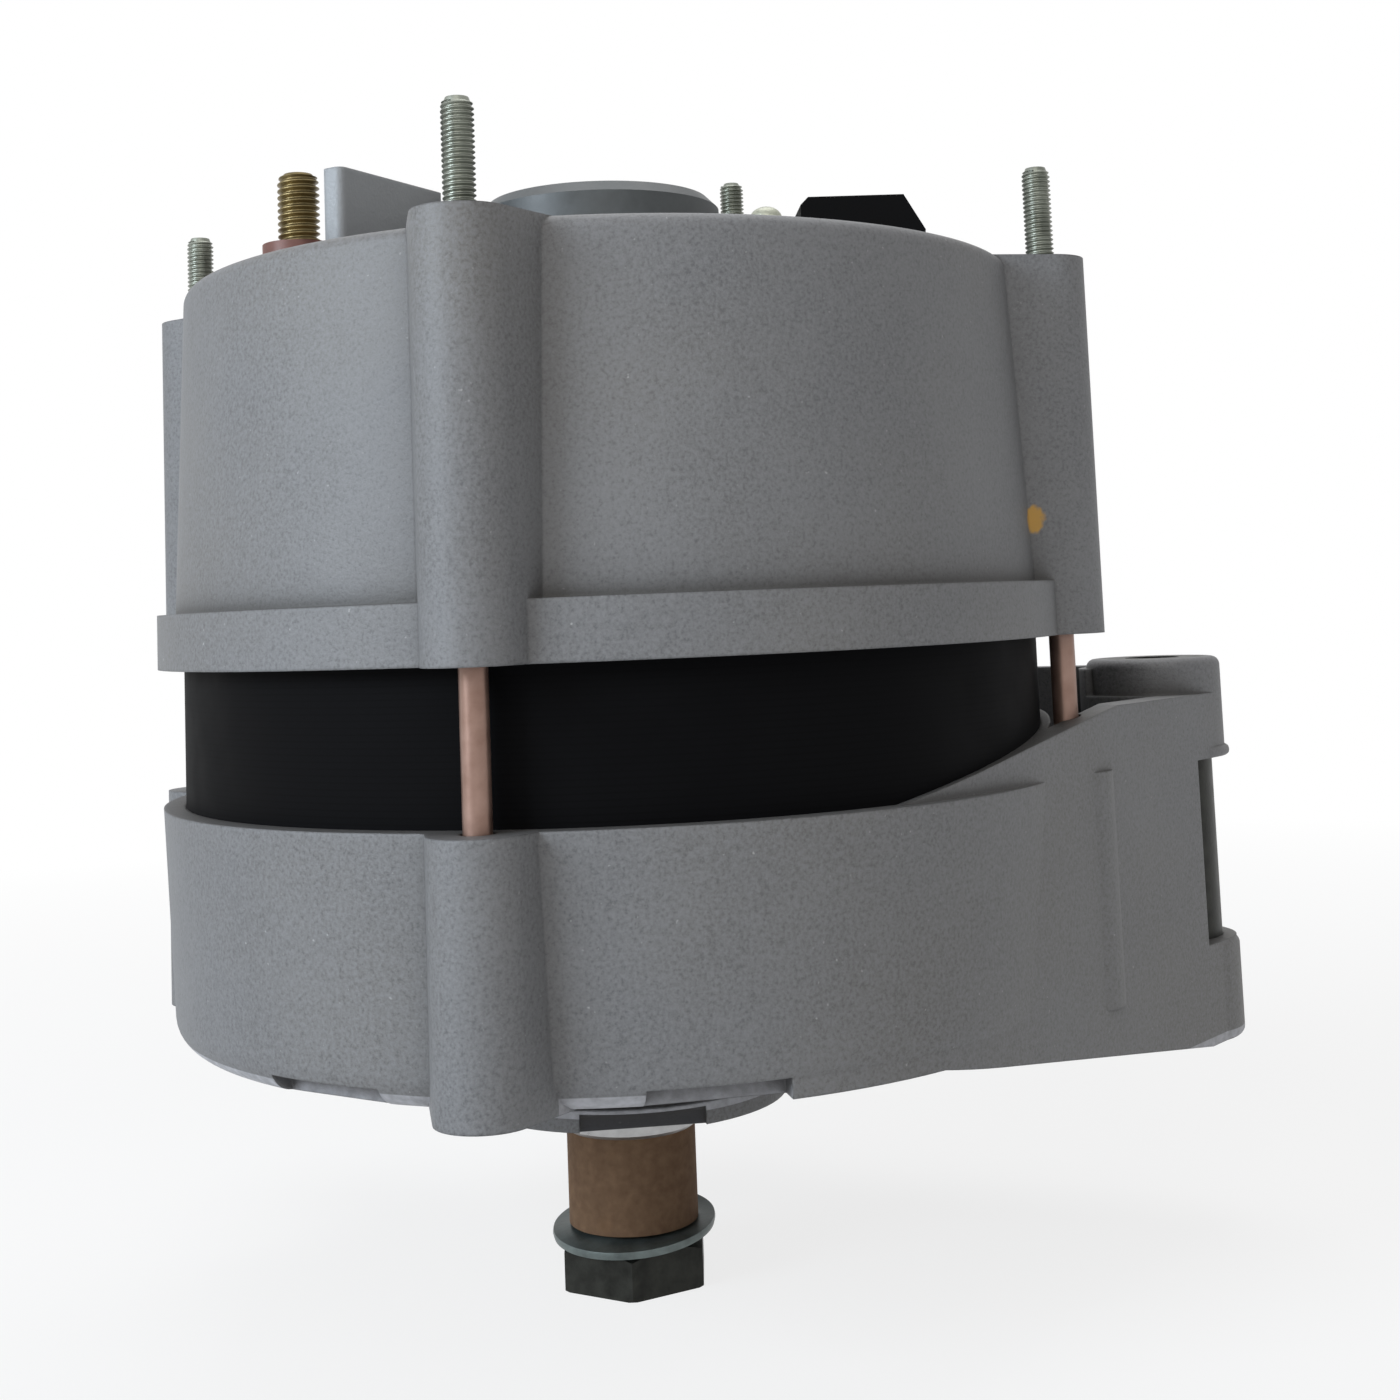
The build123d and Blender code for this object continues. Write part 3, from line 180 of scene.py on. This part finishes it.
def sandy_skin(s, grain):
    """Grey cast skin with cloudy tones, a warm stain and a few bright specks."""
    cloud = s.noise(38, 4.0)
    stain = s.noise(13, 3.0)
    base = s.mix(s.ramp(cloud, 0.3, 0.7), rgb(0.142, 0.144, 0.15), rgb(0.185, 0.186, 0.19))
    base = s.mix(s.ramp(stain, 0.42, 0.68, 0.0, 0.55), base, rgb(0.148, 0.138, 0.122))
    base = s.mix(s.ramp(grain, 0.36, 0.64, 0.0, 0.75), base, rgb(0.25, 0.251, 0.257))
    base = s.mix(s.ramp(grain, 0.42, 0.3, 0.0, 0.5), base, rgb(0.1, 0.1, 0.105))
    specks = s.ramp(s.noise(1150, 1.0, 0.5), 0.76, 0.84, 0.0, 0.6)
    return s.mix(specks, base, rgb(0.5, 0.5, 0.49))


def marked_places(s, base):
    """Trimmed notches and hub lip with a painted highlight, painted light on the guard, and painted shade
    in the hub's pry notch.
    """
    x, y, z = s.axes()
    radius = s.math("SQRT", s.math("ADD", s.math("MULTIPLY", x, x), s.math("MULTIPLY", y, y)))
    # Trimmed metal and a painted highlight: the notch walls and the hub lip's top edge turn lighter where
    # they catch the light.
    notch_level = s.band(z, SHIELD_FACE_Z + 0.0001, SHIELD_FACE_Z + NOTCH_H - 0.0001)
    notch = s.math("MULTIPLY", notch_level, s.band(radius, NOTCH_IN_R, NOTCH_OUT_R))
    lip_level = s.band(z, HUB_Z + HUB_LIP_H - 0.0013, HUB_Z + HUB_LIP_H + 0.0001)
    lip = s.math("MULTIPLY", lip_level, s.ramp(radius, 0.0262, 0.0266))
    file_marks = s.ramp(s.noise(600, 2.0), 0.3, 0.7, 0.45, 0.95)
    trim_and_highlight = s.math("MULTIPLY", s.math("MAXIMUM", notch, lip), file_marks)
    base = s.mix(trim_and_highlight, base, rgb(0.5, 0.5, 0.53))
    # Painted light: the guard's face, above this height and to the left, turns lighter and bluer as if lit.
    above = s.ramp(z, GUARD_LIT_Z, GUARD_LIT_Z + 0.0005)
    guard = s.math("MULTIPLY", above, s.ramp(x, -0.01, -0.012))
    base = s.mix(s.math("MULTIPLY", guard, 0.85), base, rgb(0.36, 0.375, 0.39))
    # Painted shade: a near-black patch on the front of the hub's pry notch, where the recess lies in shade.
    pry_level = s.band(z, HUB_Z + 0.0001, HUB_Z + HUB_LIP_H - 0.0004)
    pry_notch_shade = s.math("MULTIPLY", pry_level, s.band(radius, 0.02, 0.0277))
    front = s.ramp(y, -0.019, -0.021, 0.0, 0.85)
    return s.mix(s.math("MULTIPLY", pry_notch_shade, front), base, rgb(0.014, 0.014, 0.019))


def paint_dabs(s, base):
    """Two ragged dabs of yellow inspection paint beside the right-hand boss."""
    for place, size in (((0.0664, -0.0385, 0.1035), 0.0025), ((0.069, -0.0372, 0.1038), 0.0014)):
        spot = s.node("VectorMath", {0: s.coord, 1: Vector(place)}, operation="DISTANCE")
        wander = s.ramp(s.noise(420, 2.0), 0.0, 1.0, -0.0018, 0.0018)
        ragged = s.math("ADD", spot.outputs["Value"], wander)
        dab = s.ramp(ragged, size + 0.0003, size - 0.0005, 0.0, 0.8)
        base = s.mix(dab, base, rgb(0.55, 0.3, 0.04))
    return base


def cast_alloy():
    """Sand-cast aluminium with softened edges, and painted shade where its walls meet."""
    s = Shade("cast_alloy")
    grain = s.noise(1700, 3.0, 0.65)
    base = marked_places(s, sandy_skin(s, grain))
    # Painted shade: the skin turns dark where walls close round it, in creases and corners.
    crease_shade = s.node("AmbientOcclusion", {"Distance": 0.014}, samples=8).outputs["AO"]
    base = s.mix(s.ramp(crease_shade, 0.93, 0.5, 0.0, 0.75), base, rgb(0.045, 0.042, 0.038))
    s.link(paint_dabs(s, base), "Base Color")
    s.bsdf.inputs["Metallic"].default_value = 0.25
    s.link(s.ramp(grain, 0.3, 0.7, 0.52, 0.7), "Roughness")
    soft = s.node("Bevel", {"Radius": 0.0007}, samples=6).outputs["Normal"]
    coarse = s.bump(s.noise(260, 3.0), 0.3, 0.0004, soft)
    s.bump(grain, 0.6, 0.00014, coarse)
    return s.mat


def plain(name, colour, rough, metal=0.0, scale=300, vary=0.25, bump=0.15, shine=0.5):
    """A material whose colour and gloss vary gently, with a fine surface."""
    s = Shade(name)
    cloud = s.noise(scale, 4.0)
    dark = rgb(*(c * (1 - vary) for c in colour))
    light = rgb(*(min(1.0, c * (1 + vary)) for c in colour))
    s.link(s.mix(s.ramp(cloud, 0.3, 0.7), dark, light), "Base Color")
    s.bsdf.inputs["Metallic"].default_value = metal
    s.bsdf.inputs["Specular IOR Level"].default_value = shine
    s.link(s.ramp(cloud, 0.3, 0.7, rough * 0.85, min(1.0, rough * 1.15)), "Roughness")
    s.bump(s.noise(scale * 5, 2.0), bump, 0.0001)
    return s.mat


def laminations(sheet_t=0.001):
    """Stacked sheet steel under black lacquer: fine level lines."""
    s = Shade("laminations")
    sheet = s.math("FRACT", s.math("MULTIPLY", s.axes()[2], 1.0 / sheet_t))
    gap = s.ramp(s.math("ABSOLUTE", s.math("SUBTRACT", sheet, 0.5)), 0.32, 0.5)
    cloud = s.noise(60, 4.0)
    base = s.mix(s.ramp(cloud, 0.3, 0.7), rgb(0.0028, 0.0028, 0.0034), rgb(0.0052, 0.0052, 0.0058))
    s.link(s.mix(s.math("MULTIPLY", gap, 0.5), base, rgb(0.0018, 0.0018, 0.0018)), "Base Color")
    s.bsdf.inputs["Metallic"].default_value = 0.0
    s.bsdf.inputs["Specular IOR Level"].default_value = 0.04
    s.link(s.ramp(cloud, 0.3, 0.7, 0.55, 0.7), "Roughness")
    s.bump(gap, -0.35, 0.0001)
    return s.mat


def sleeve_board(lead=0.052):
    """Wound brown board with a faint spiral seam and rubbed patches."""
    s = Shade("sleeve_board")
    x, y, z = s.axes()
    turn = s.math("MULTIPLY", s.math("ARCTAN2", y, x), 1.0 / (2 * pi))
    seam = s.line(s.math("SUBTRACT", s.math("MULTIPLY", z, 1.0 / lead), turn), 0.05)
    fibre = s.noise(620, 4.0)
    base = s.mix(s.ramp(fibre, 0.3, 0.7), rgb(0.15, 0.08, 0.04), rgb(0.22, 0.128, 0.068))
    base = s.mix(s.ramp(s.noise(110, 3.0), 0.52, 0.75, 0.0, 0.5), base, rgb(0.115, 0.062, 0.03))
    base = s.mix(s.ramp(s.noise(75, 2.0), 0.55, 0.7, 0.0, 0.5), base, rgb(0.27, 0.14, 0.058))
    s.link(s.mix(s.math("MULTIPLY", seam, 0.4), base, rgb(0.05, 0.03, 0.016)), "Base Color")
    s.bsdf.inputs["Roughness"].default_value = 0.85
    low = s.bump(seam, -0.3, 0.00015)
    s.bump(fibre, 0.3, 0.0001, low)
    return s.mat


def bolt_plating(thread_foot=0.118, thread_full=0.124):
    """Zinc plating that is copper red on the smooth shank and olive on the thread."""
    s = Shade("bolt_plating")
    cloud = s.noise(220, 4.0)
    shank = s.mix(s.ramp(cloud, 0.3, 0.7), rgb(0.25, 0.15, 0.115), rgb(0.36, 0.235, 0.19))
    threaded = s.mix(s.ramp(cloud, 0.3, 0.7), rgb(0.17, 0.18, 0.15), rgb(0.3, 0.315, 0.27))
    s.link(s.mix(s.ramp(s.axes()[2], thread_foot, thread_full), shank, threaded), "Base Color")
    s.bsdf.inputs["Metallic"].default_value = 0.6
    s.link(s.ramp(cloud, 0.3, 0.7, 0.3, 0.45), "Roughness")
    s.bump(s.noise(900, 2.0), 0.15, 0.0001)
    return s.mat


# Plain materials: colour, roughness, metal, noise scale, variation, bump and shine
PLAIN = {
    "winding_copper": ((0.42, 0.17, 0.07), 0.35, 0.7, 160, 0.35, 0.4),
    "zinc_bolt": ((0.2, 0.155, 0.072), 0.38, 0.75, 260, 0.3, 0.25),
    "steel": ((0.42, 0.42, 0.42), 0.32, 0.9, 400, 0.15, 0.1),
    "black_steel": ((0.024, 0.0245, 0.021), 0.45, 0.5, 320, 0.5, 0.35, 0.25),
    "bearing_steel": ((0.6, 0.6, 0.61), 0.18, 1.0, 300, 0.08, 0.05),
    "forged_iron": ((0.06, 0.055, 0.05), 0.5, 0.6, 120, 0.4, 0.4),
    "seal_rubber": ((0.02, 0.02, 0.02), 0.6, 0.0, 300, 0.2, 0.1),
    "black_plastic": ((0.0045, 0.0045, 0.005), 0.65, 0.0, 500, 0.3, 0.2, 0.06),
    "brown_plastic": ((0.16, 0.06, 0.045), 0.45, 0.0, 240, 0.3, 0.15),
    "carbon": ((0.05, 0.048, 0.046), 0.5, 0.3, 700, 0.3, 0.3),
    "sink_alloy": ((0.55, 0.56, 0.57), 0.38, 0.85, 300, 0.1, 0.1),
    "ring_bronze": ((0.55, 0.33, 0.16), 0.25, 1.0, 300, 0.12, 0.05),
    "pale_zinc": ((0.36, 0.37, 0.3), 0.4, 0.6, 300, 0.25, 0.25),
    "washer_zinc": ((0.13, 0.155, 0.15), 0.4, 0.6, 260, 0.35, 0.3),
    "cap_grey": ((0.075, 0.082, 0.085), 0.5, 0.3, 200, 0.25, 0.25),
}
MATS = {
    "cast_alloy": cast_alloy(),
    "laminations": laminations(),
    "sleeve_board": sleeve_board(),
    "bolt_plating": bolt_plating(),
}
for material_name, look in PLAIN.items():
    MATS[material_name] = plain(material_name, *look)
MATS["copper"] = MATS["winding_copper"]


def dress(obj, material):
    """Give an object one material."""
    obj.data.materials.clear()
    obj.data.materials.append(MATS[material])


def smooth(mesh, angle):
    """Round shading, with sharp edges where faces meet at more than angle degrees."""
    for face in mesh.polygons:
        face.use_smooth = True
    mesh.set_sharp_from_angle(angle=radians(angle))


# Nodes that look different from the rest of their slot
SPECIAL = {
    "spring_washer": "washer_zinc",
    "rear_bearing_cap": "cap_grey",
    "through_bolts": "bolt_plating",
}
slot_of = {part["node"]: part["material_slot"] for part in record["subparts"]}
for name, obj in nodes.items():
    dress(obj, SPECIAL.get(name, slot_of[name]))


# ---------------------------------------------------------------- mesh helpers
def vert(bm, x, y, z):
    """A vertex at a place in mm."""
    return bm.verts.new((x * MM, y * MM, z * MM))


def around(bm, centre, r, z, a):
    """A vertex at radius r, height z and angle a about an upright axis."""
    return vert(bm, centre[0] + r * cos(a), centre[1] + r * sin(a), z)


def angles(count, start=0.0):
    """Equal steps round a circle."""
    return [2 * pi * i / count + start for i in range(count)]


def skin(bm, rows, closed=True):
    """Faces between each row of vertices and the next, round the rows where they are closed."""
    for low, high in zip(rows, rows[1:]):
        for i in range(len(low) if closed else len(low) - 1):
            j = (i + 1) % len(low)
            bm.faces.new((low[i], low[j], high[j], high[i]))


def cap_ends(bm, rows):
    """Close the first and the last row with a face each."""
    bm.faces.new(list(reversed(rows[0])))
    bm.faces.new(rows[-1])


def lathe(bm, centre, profile, steps):
    """Revolve (radius, height) points about an upright axis."""
    rings = [[around(bm, centre, r, z, a) for a in angles(steps)] for r, z in profile]
    skin(bm, rings)
    cap_ends(bm, rings)


def thread(bm, centre, z0, z1, r, pitch, depth, steps=24):
    """A screw thread as one open helical skin, with a tapered start at the top."""
    ridge = ((0.0, 0.0), (0.38, 1.0), (0.5, 1.0), (0.88, 0.0), (1.0, 0.0))
    count = int((z1 - z0) / pitch * steps) + 1
    rows = []
    for i in range(count + 1):
        row = []
        for along, lift in ridge:
            z = min(z0 + pitch * i / steps + along * pitch, z1)
            fade = min(1.0, max(0.0, (z1 - z) / pitch))
            crest = r - depth + depth * lift * (0.55 + 0.45 * fade)
            row.append(around(bm, centre, crest, z, 2 * pi * i / steps))
        rows.append(row)
    skin(bm, rows, closed=False)


def hexagon(bm, centre, across, z0, z1, turn, chamfer, bore, steps=60, edge=0.02):
    """A hexagon nut, chamfered at both faces, with a plain bore. turn is the angle of a flat."""
    flat = across / 2
    way = angles(steps, turn)
    reach = [flat / cos((a - turn + pi / 6) % (pi / 3) - pi / 6) for a in way]
    rings = []
    for z, slope in ((z0, 1), (z1, -1)):
        face = [around(bm, centre, flat, z, a) for a in way]
        side = [
            around(bm, centre, far, z + slope * (edge + (far - flat) * chamfer), a)
            for a, far in zip(way, reach)
        ]
        rings += [face, side] if slope > 0 else [side, face]
    rings += [[around(bm, centre, bore, z, a) for a in way] for z in (z1, z0)]
    skin(bm, rings + rings[:1])


def piece(name, bm, body, material, sharp, replaces):
    """Turn a bmesh into an object that stands for CAD nodes and rides on their body."""
    mesh = bpy.data.meshes.new(name)
    bmesh.ops.remove_doubles(bm, verts=bm.verts, dist=1e-7)
    bmesh.ops.recalc_face_normals(bm, faces=bm.faces)
    bm.to_mesh(mesh)
    bm.free()
    obj = bpy.data.objects.new(name, mesh)
    bpy.context.scene.collection.objects.link(obj)
    dress(obj, material)
    smooth(mesh, sharp)
    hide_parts(*replaces)
    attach(obj, body)
    return obj


def heights_of(node):
    """Lowest and highest point of a CAD node, in mm."""
    low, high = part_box(node)
    return low[2] / MM, high[2] / MM


def reach_of(node):
    """Radius, in mm, of a round CAD node that is centred on the shaft."""
    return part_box(node)[1][0] / MM


def centre_of(node):
    """Middle of a CAD node in plan, in mm."""
    low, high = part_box(node)
    return ((low[0] + high[0]) / 2 / MM, (low[1] + high[1]) / 2 / MM)


# ---------------------------------------------------------------- bolts and studs
def through_bolts():
    """Four bolts with round heads, smooth shanks and threaded upper ends."""
    foot, top = heights_of("through_bolts")
    thread_foot = top - BOLT_THREAD_LEN
    head_top = foot + BOLT_HEAD_H
    shank = [
        (BOLT_HEAD_R - 0.2, foot),
        (BOLT_HEAD_R, foot + 0.3),
        (BOLT_HEAD_R, foot + 3.4),
        (BOLT_HEAD_R - 0.3, head_top),
        (BOLT_SHANK_R, head_top),
        (BOLT_SHANK_R, thread_foot - 0.4),
        (BOLT_CORE_R, thread_foot),
    ]
    core = [(BOLT_CORE_R, thread_foot), (BOLT_CORE_R, top - 1.0), (1.75, top)]
    bm = bmesh.new()
    for k in range(BOLT_COUNT):
        a = radians(FIRST_BOLT_ANGLE + 360 / BOLT_COUNT * k)
        at = (BOLT_CIRCLE_R * cos(a), BOLT_CIRCLE_R * sin(a))
        lathe(bm, at, shank, 32)
        lathe(bm, at, core, 24)
        thread(bm, at, thread_foot, top - 0.7, BOLT_R, BOLT_PITCH, BOLT_THREAD_DEPTH)
    piece("threaded_bolts", bm, "housing", "bolt_plating", 35, ("through_bolts",))


def stud(name, node, r, pitch, head_r, head_h, material):
    """A threaded stud with a round head, which stands for a plain one."""
    at = centre_of(node)
    z0, z1 = heights_of(node)
    depth = 0.58 * pitch
    core_r = r - depth
    head_top = z0 + head_h
    profile = [(head_r, z0), (head_r, head_top), (core_r, head_top), (core_r, z1 - 1.0), (core_r - 0.5, z1)]
    bm = bmesh.new()
    lathe(bm, at, profile, 36)
    thread(bm, at, head_top, z1 - 0.6, r, pitch, depth, 28)
    piece(name, bm, "housing", material, 35, (node,))


def phase_cap_nut(across=7.4, height=6.4, dome_h=2.5, dome_r=3.3):
    """The phase lead's cap nut, which just shows above the rim."""
    at = centre_of("phase_terminal_nut")
    foot = heights_of("phase_terminal_nut")[0]
    top = foot + height
    bm = bmesh.new()
    hexagon(bm, at, across, foot, top - 2.4, 0.2, 0.5, 1.9)
    quarter = [t * pi / 16 for t in range(8)]
    dome = [(dome_r * cos(t), top - dome_h + dome_h * sin(t)) for t in quarter]
    lathe(bm, at, dome + [(0.2, top)], 32)
    stands_for = ("phase_terminal_nut", "phase_terminal_stud")
    piece("phase_cap_nut", bm, "housing", "pale_zinc", 35, stands_for)


# ---------------------------------------------------------------- shaft nut and washer
def shaft_nut():
    """The nut on the shaft's end, a corner to the front."""
    foot, top = heights_of("shaft_nut")
    foot, top = foot - NUT_DROP, top + NUT_RISE
    bm = bmesh.new()
    hexagon(bm, (0, 0), NUT_ACROSS, foot, top, NUT_FLAT_ANGLE, 0.6, NUT_BORE_R)
    piece("shaft_nut_mesh", bm, "rotor", "black_steel", 25, ("shaft_nut",))


def dished_washer(steps=96):
    """A dished washer whose free rim leans down to the front and to the left."""
    outer_r = reach_of("spring_washer")
    top = heights_of("spring_washer")[1]
    held_r = reach_of("transport_sleeve") - 1.5
    upper = ((WASHER_BORE_R, -0.3), (11.2, -0.1), (13.0, 0.15), (outer_r, 0.3), (outer_r + 0.1, -0.2))
    lower = ((outer_r - 0.1, -1.0), (13.0, -1.4), (11.2, -1.8), (WASHER_BORE_R, -2.2))
    bm = bmesh.new()
    rows = []
    for a in angles(steps):
        lean = -0.7 + 0.7 * cos(a - CAMERA_SIDE - pi / 2) - 1.1 * cos(a - CAMERA_SIDE)
        row = []
        for r, z in upper + lower:
            free = max(0.0, r - held_r) / (outer_r - held_r)
            row.append(around(bm, (0, 0), r, z + (top + lean * free), a))
        rows.append(row)
    skin(bm, rows + rows[:1])
    piece("dished_washer", bm, "rotor", "washer_zinc", 30, ("spring_washer",))


# ---------------------------------------------------------------- brush springs
def brush_spring(side, steps=32, wire_steps=10):
    """A coil spring behind a brush."""
    node = "brush_spring_" + side
    along = Vector((cos(BRUSH_ANGLE), sin(BRUSH_ANGLE), 0))
    across = Vector((-sin(BRUSH_ANGLE), cos(BRUSH_ANGLE), 0))
    low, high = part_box(node)
    middle = (Vector(low) + Vector(high)) / 2 / MM
    run = SPRING_LEN - 2 * SPRING_WIRE_R
    climb = along * (run / SPRING_TURNS / 2 / pi)
    count = SPRING_TURNS * steps
    bm = bmesh.new()
    rings = []
    for i in range(count + 1):
        a = 2 * pi * SPRING_TURNS * i / count
        out = across * cos(a) + UP * sin(a)
        heart = middle + along * (run * (i / count - 0.5)) + out * SPRING_R
        tangent = (UP * cos(a) - across * sin(a)) * SPRING_R + climb
        side_way = tangent.normalized().cross(out)
        ring = []
        for t in angles(wire_steps):
            ring.append(vert(bm, *(heart + (out * cos(t) + side_way * sin(t)) * SPRING_WIRE_R)))
        rings.append(ring)
    skin(bm, rings)
    cap_ends(bm, rings)
    spring = piece("brush_coil_" + side, bm, "housing", "steel", 50, (node,))
    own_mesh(spring)


through_bolts()
stud("main_stud_thread", "main_terminal_stud", 3.95, 1.25, 6.1, 3.5, "zinc_bolt")
stud("field_stud_thread", "field_terminal_stud", 2.45, 0.8, 5.0, 2.5, "bolt_plating")
phase_cap_nut()
shaft_nut()
dished_washer()
brush_spring("lower")
brush_spring("upper")

for obj in nodes.values():
    if not obj.hide_render:
        smooth(obj.data, 28)


# ---------------------------------------------------------------- floor, world, lamps and camera
def seen_ray(s):
    """1 for what the camera sees, straight or by gloss or glass, and 0 for light on the object."""
    path = s.node("LightPath").outputs
    mirrored = s.math("MAXIMUM", path["Is Glossy Ray"], path["Is Transmission Ray"])
    return s.math("MAXIMUM", path["Is Camera Ray"], mirrored)


def floor(reach=6.0, gap=0.0004):
    """A white floor that keeps the object's shadow and fades to pure white away from it."""
    z = cad_box[0][2] - gap
    bm = bmesh.new()
    corners = ((-reach, -reach), (reach, -reach), (reach, reach), (-reach, reach))
    bm.faces.new([bm.verts.new((x, y, z)) for x, y in corners])
    mesh = bpy.data.meshes.new("floor")
    bm.to_mesh(mesh)
    bm.free()
    obj = bpy.data.objects.new("floor", mesh)
    bpy.context.scene.collection.objects.link(obj)
    s = Shade("floor_white")
    s.bsdf.inputs["Base Color"].default_value = rgb(0.9, 0.9, 0.9)
    s.bsdf.inputs["Roughness"].default_value = 0.9
    distance = s.node("VectorMath", {0: s.coord}, operation="LENGTH").outputs["Value"]
    white = s.math("MULTIPLY", seen_ray(s), s.ramp(distance, 0.2, 0.7, 0.8, 1.0))
    glow = s.node("Emission", {"Color": rgb(1, 1, 1), "Strength": 1.0})
    blend = s.node("MixShader", {0: white, 1: s.bsdf.outputs[0], 2: glow.outputs[0]})
    s.tree.links.new(blend.outputs[0], s.tree.nodes["Material Output"].inputs["Surface"])
    obj.data.materials.append(s.mat)


class WorldShade(Shade):
    """The same helpers for the world's graph."""

    def __init__(self, name):
        self.world = bpy.data.worlds.new(name)
        self.world.use_nodes = True
        self.tree = self.world.node_tree
        self.back = self.tree.nodes["Background"]


def studio():
    """A dim cool surround that the camera, gloss and glass see as white."""
    s = WorldShade("studio")
    bpy.context.scene.world = s.world
    s.feed(s.back, {"Color": rgb(0.92, 0.95, 1.0), "Strength": 0.15})
    white = s.node("Background", {"Color": rgb(1, 1, 1), "Strength": 1.0})
    blend = s.node("MixShader", {0: seen_ray(s), 1: s.back.outputs[0], 2: white.outputs[0]})
    s.tree.links.new(blend.outputs[0], s.tree.nodes["World Output"].inputs["Surface"])


def area(name, at, aim, size, power, colour):
    """A soft square lamp that looks at a point."""
    data = bpy.data.lights.new(name, "AREA")
    data.size = size
    data.energy = power
    data.color = colour
    lamp = bpy.data.objects.new(name, data)
    bpy.context.scene.collection.objects.link(lamp)
    way = Vector(aim) - Vector(at)
    lamp.matrix_world = Matrix.Translation(at) @ way.to_track_quat("-Z", "Y").to_matrix().to_4x4()


def photo_camera(focal_px=1922.5, frame_px=1400):
    """A camera whose place, aim and lens were fitted to the photograph."""
    data = bpy.data.cameras.new("camera")
    data.sensor_width = 36.0
    data.lens = focal_px / frame_px * data.sensor_width
    data.shift_x = 0.0074
    data.shift_y = -0.1905
    data.clip_start = 0.01
    camera = bpy.data.objects.new("camera", data)
    bpy.context.scene.collection.objects.link(camera)
    right = Vector((0.97802, -0.20478, -0.03924))
    up = Vector((0.01972, -0.09648, 0.99514))
    back = Vector((-0.20757, -0.97404, -0.09032))
    place = Vector((-58.35, -347.19, 90.7)) * MM
    turn = Matrix((right, up, back)).transposed().to_4x4()
    camera.matrix_world = Matrix.Translation(place) @ turn
    bpy.context.scene.camera = camera


floor()
studio()
target = (0.0, 0.0, 0.08)
area("key", (-1.0, -0.42, 0.5), target, 0.45, 9.5, (0.8, 0.9, 1.0))
area("fill", (-0.12, -0.52, 0.46), (0.0, 0.0, 0.13), 0.4, 0.85, (1.0, 0.96, 0.9))
area("top", (0.1, 0.25, 1.1), target, 0.8, 4.5, (1.0, 1.0, 1.0))
photo_camera()
bpy.context.scene.view_settings.view_transform = "Standard"
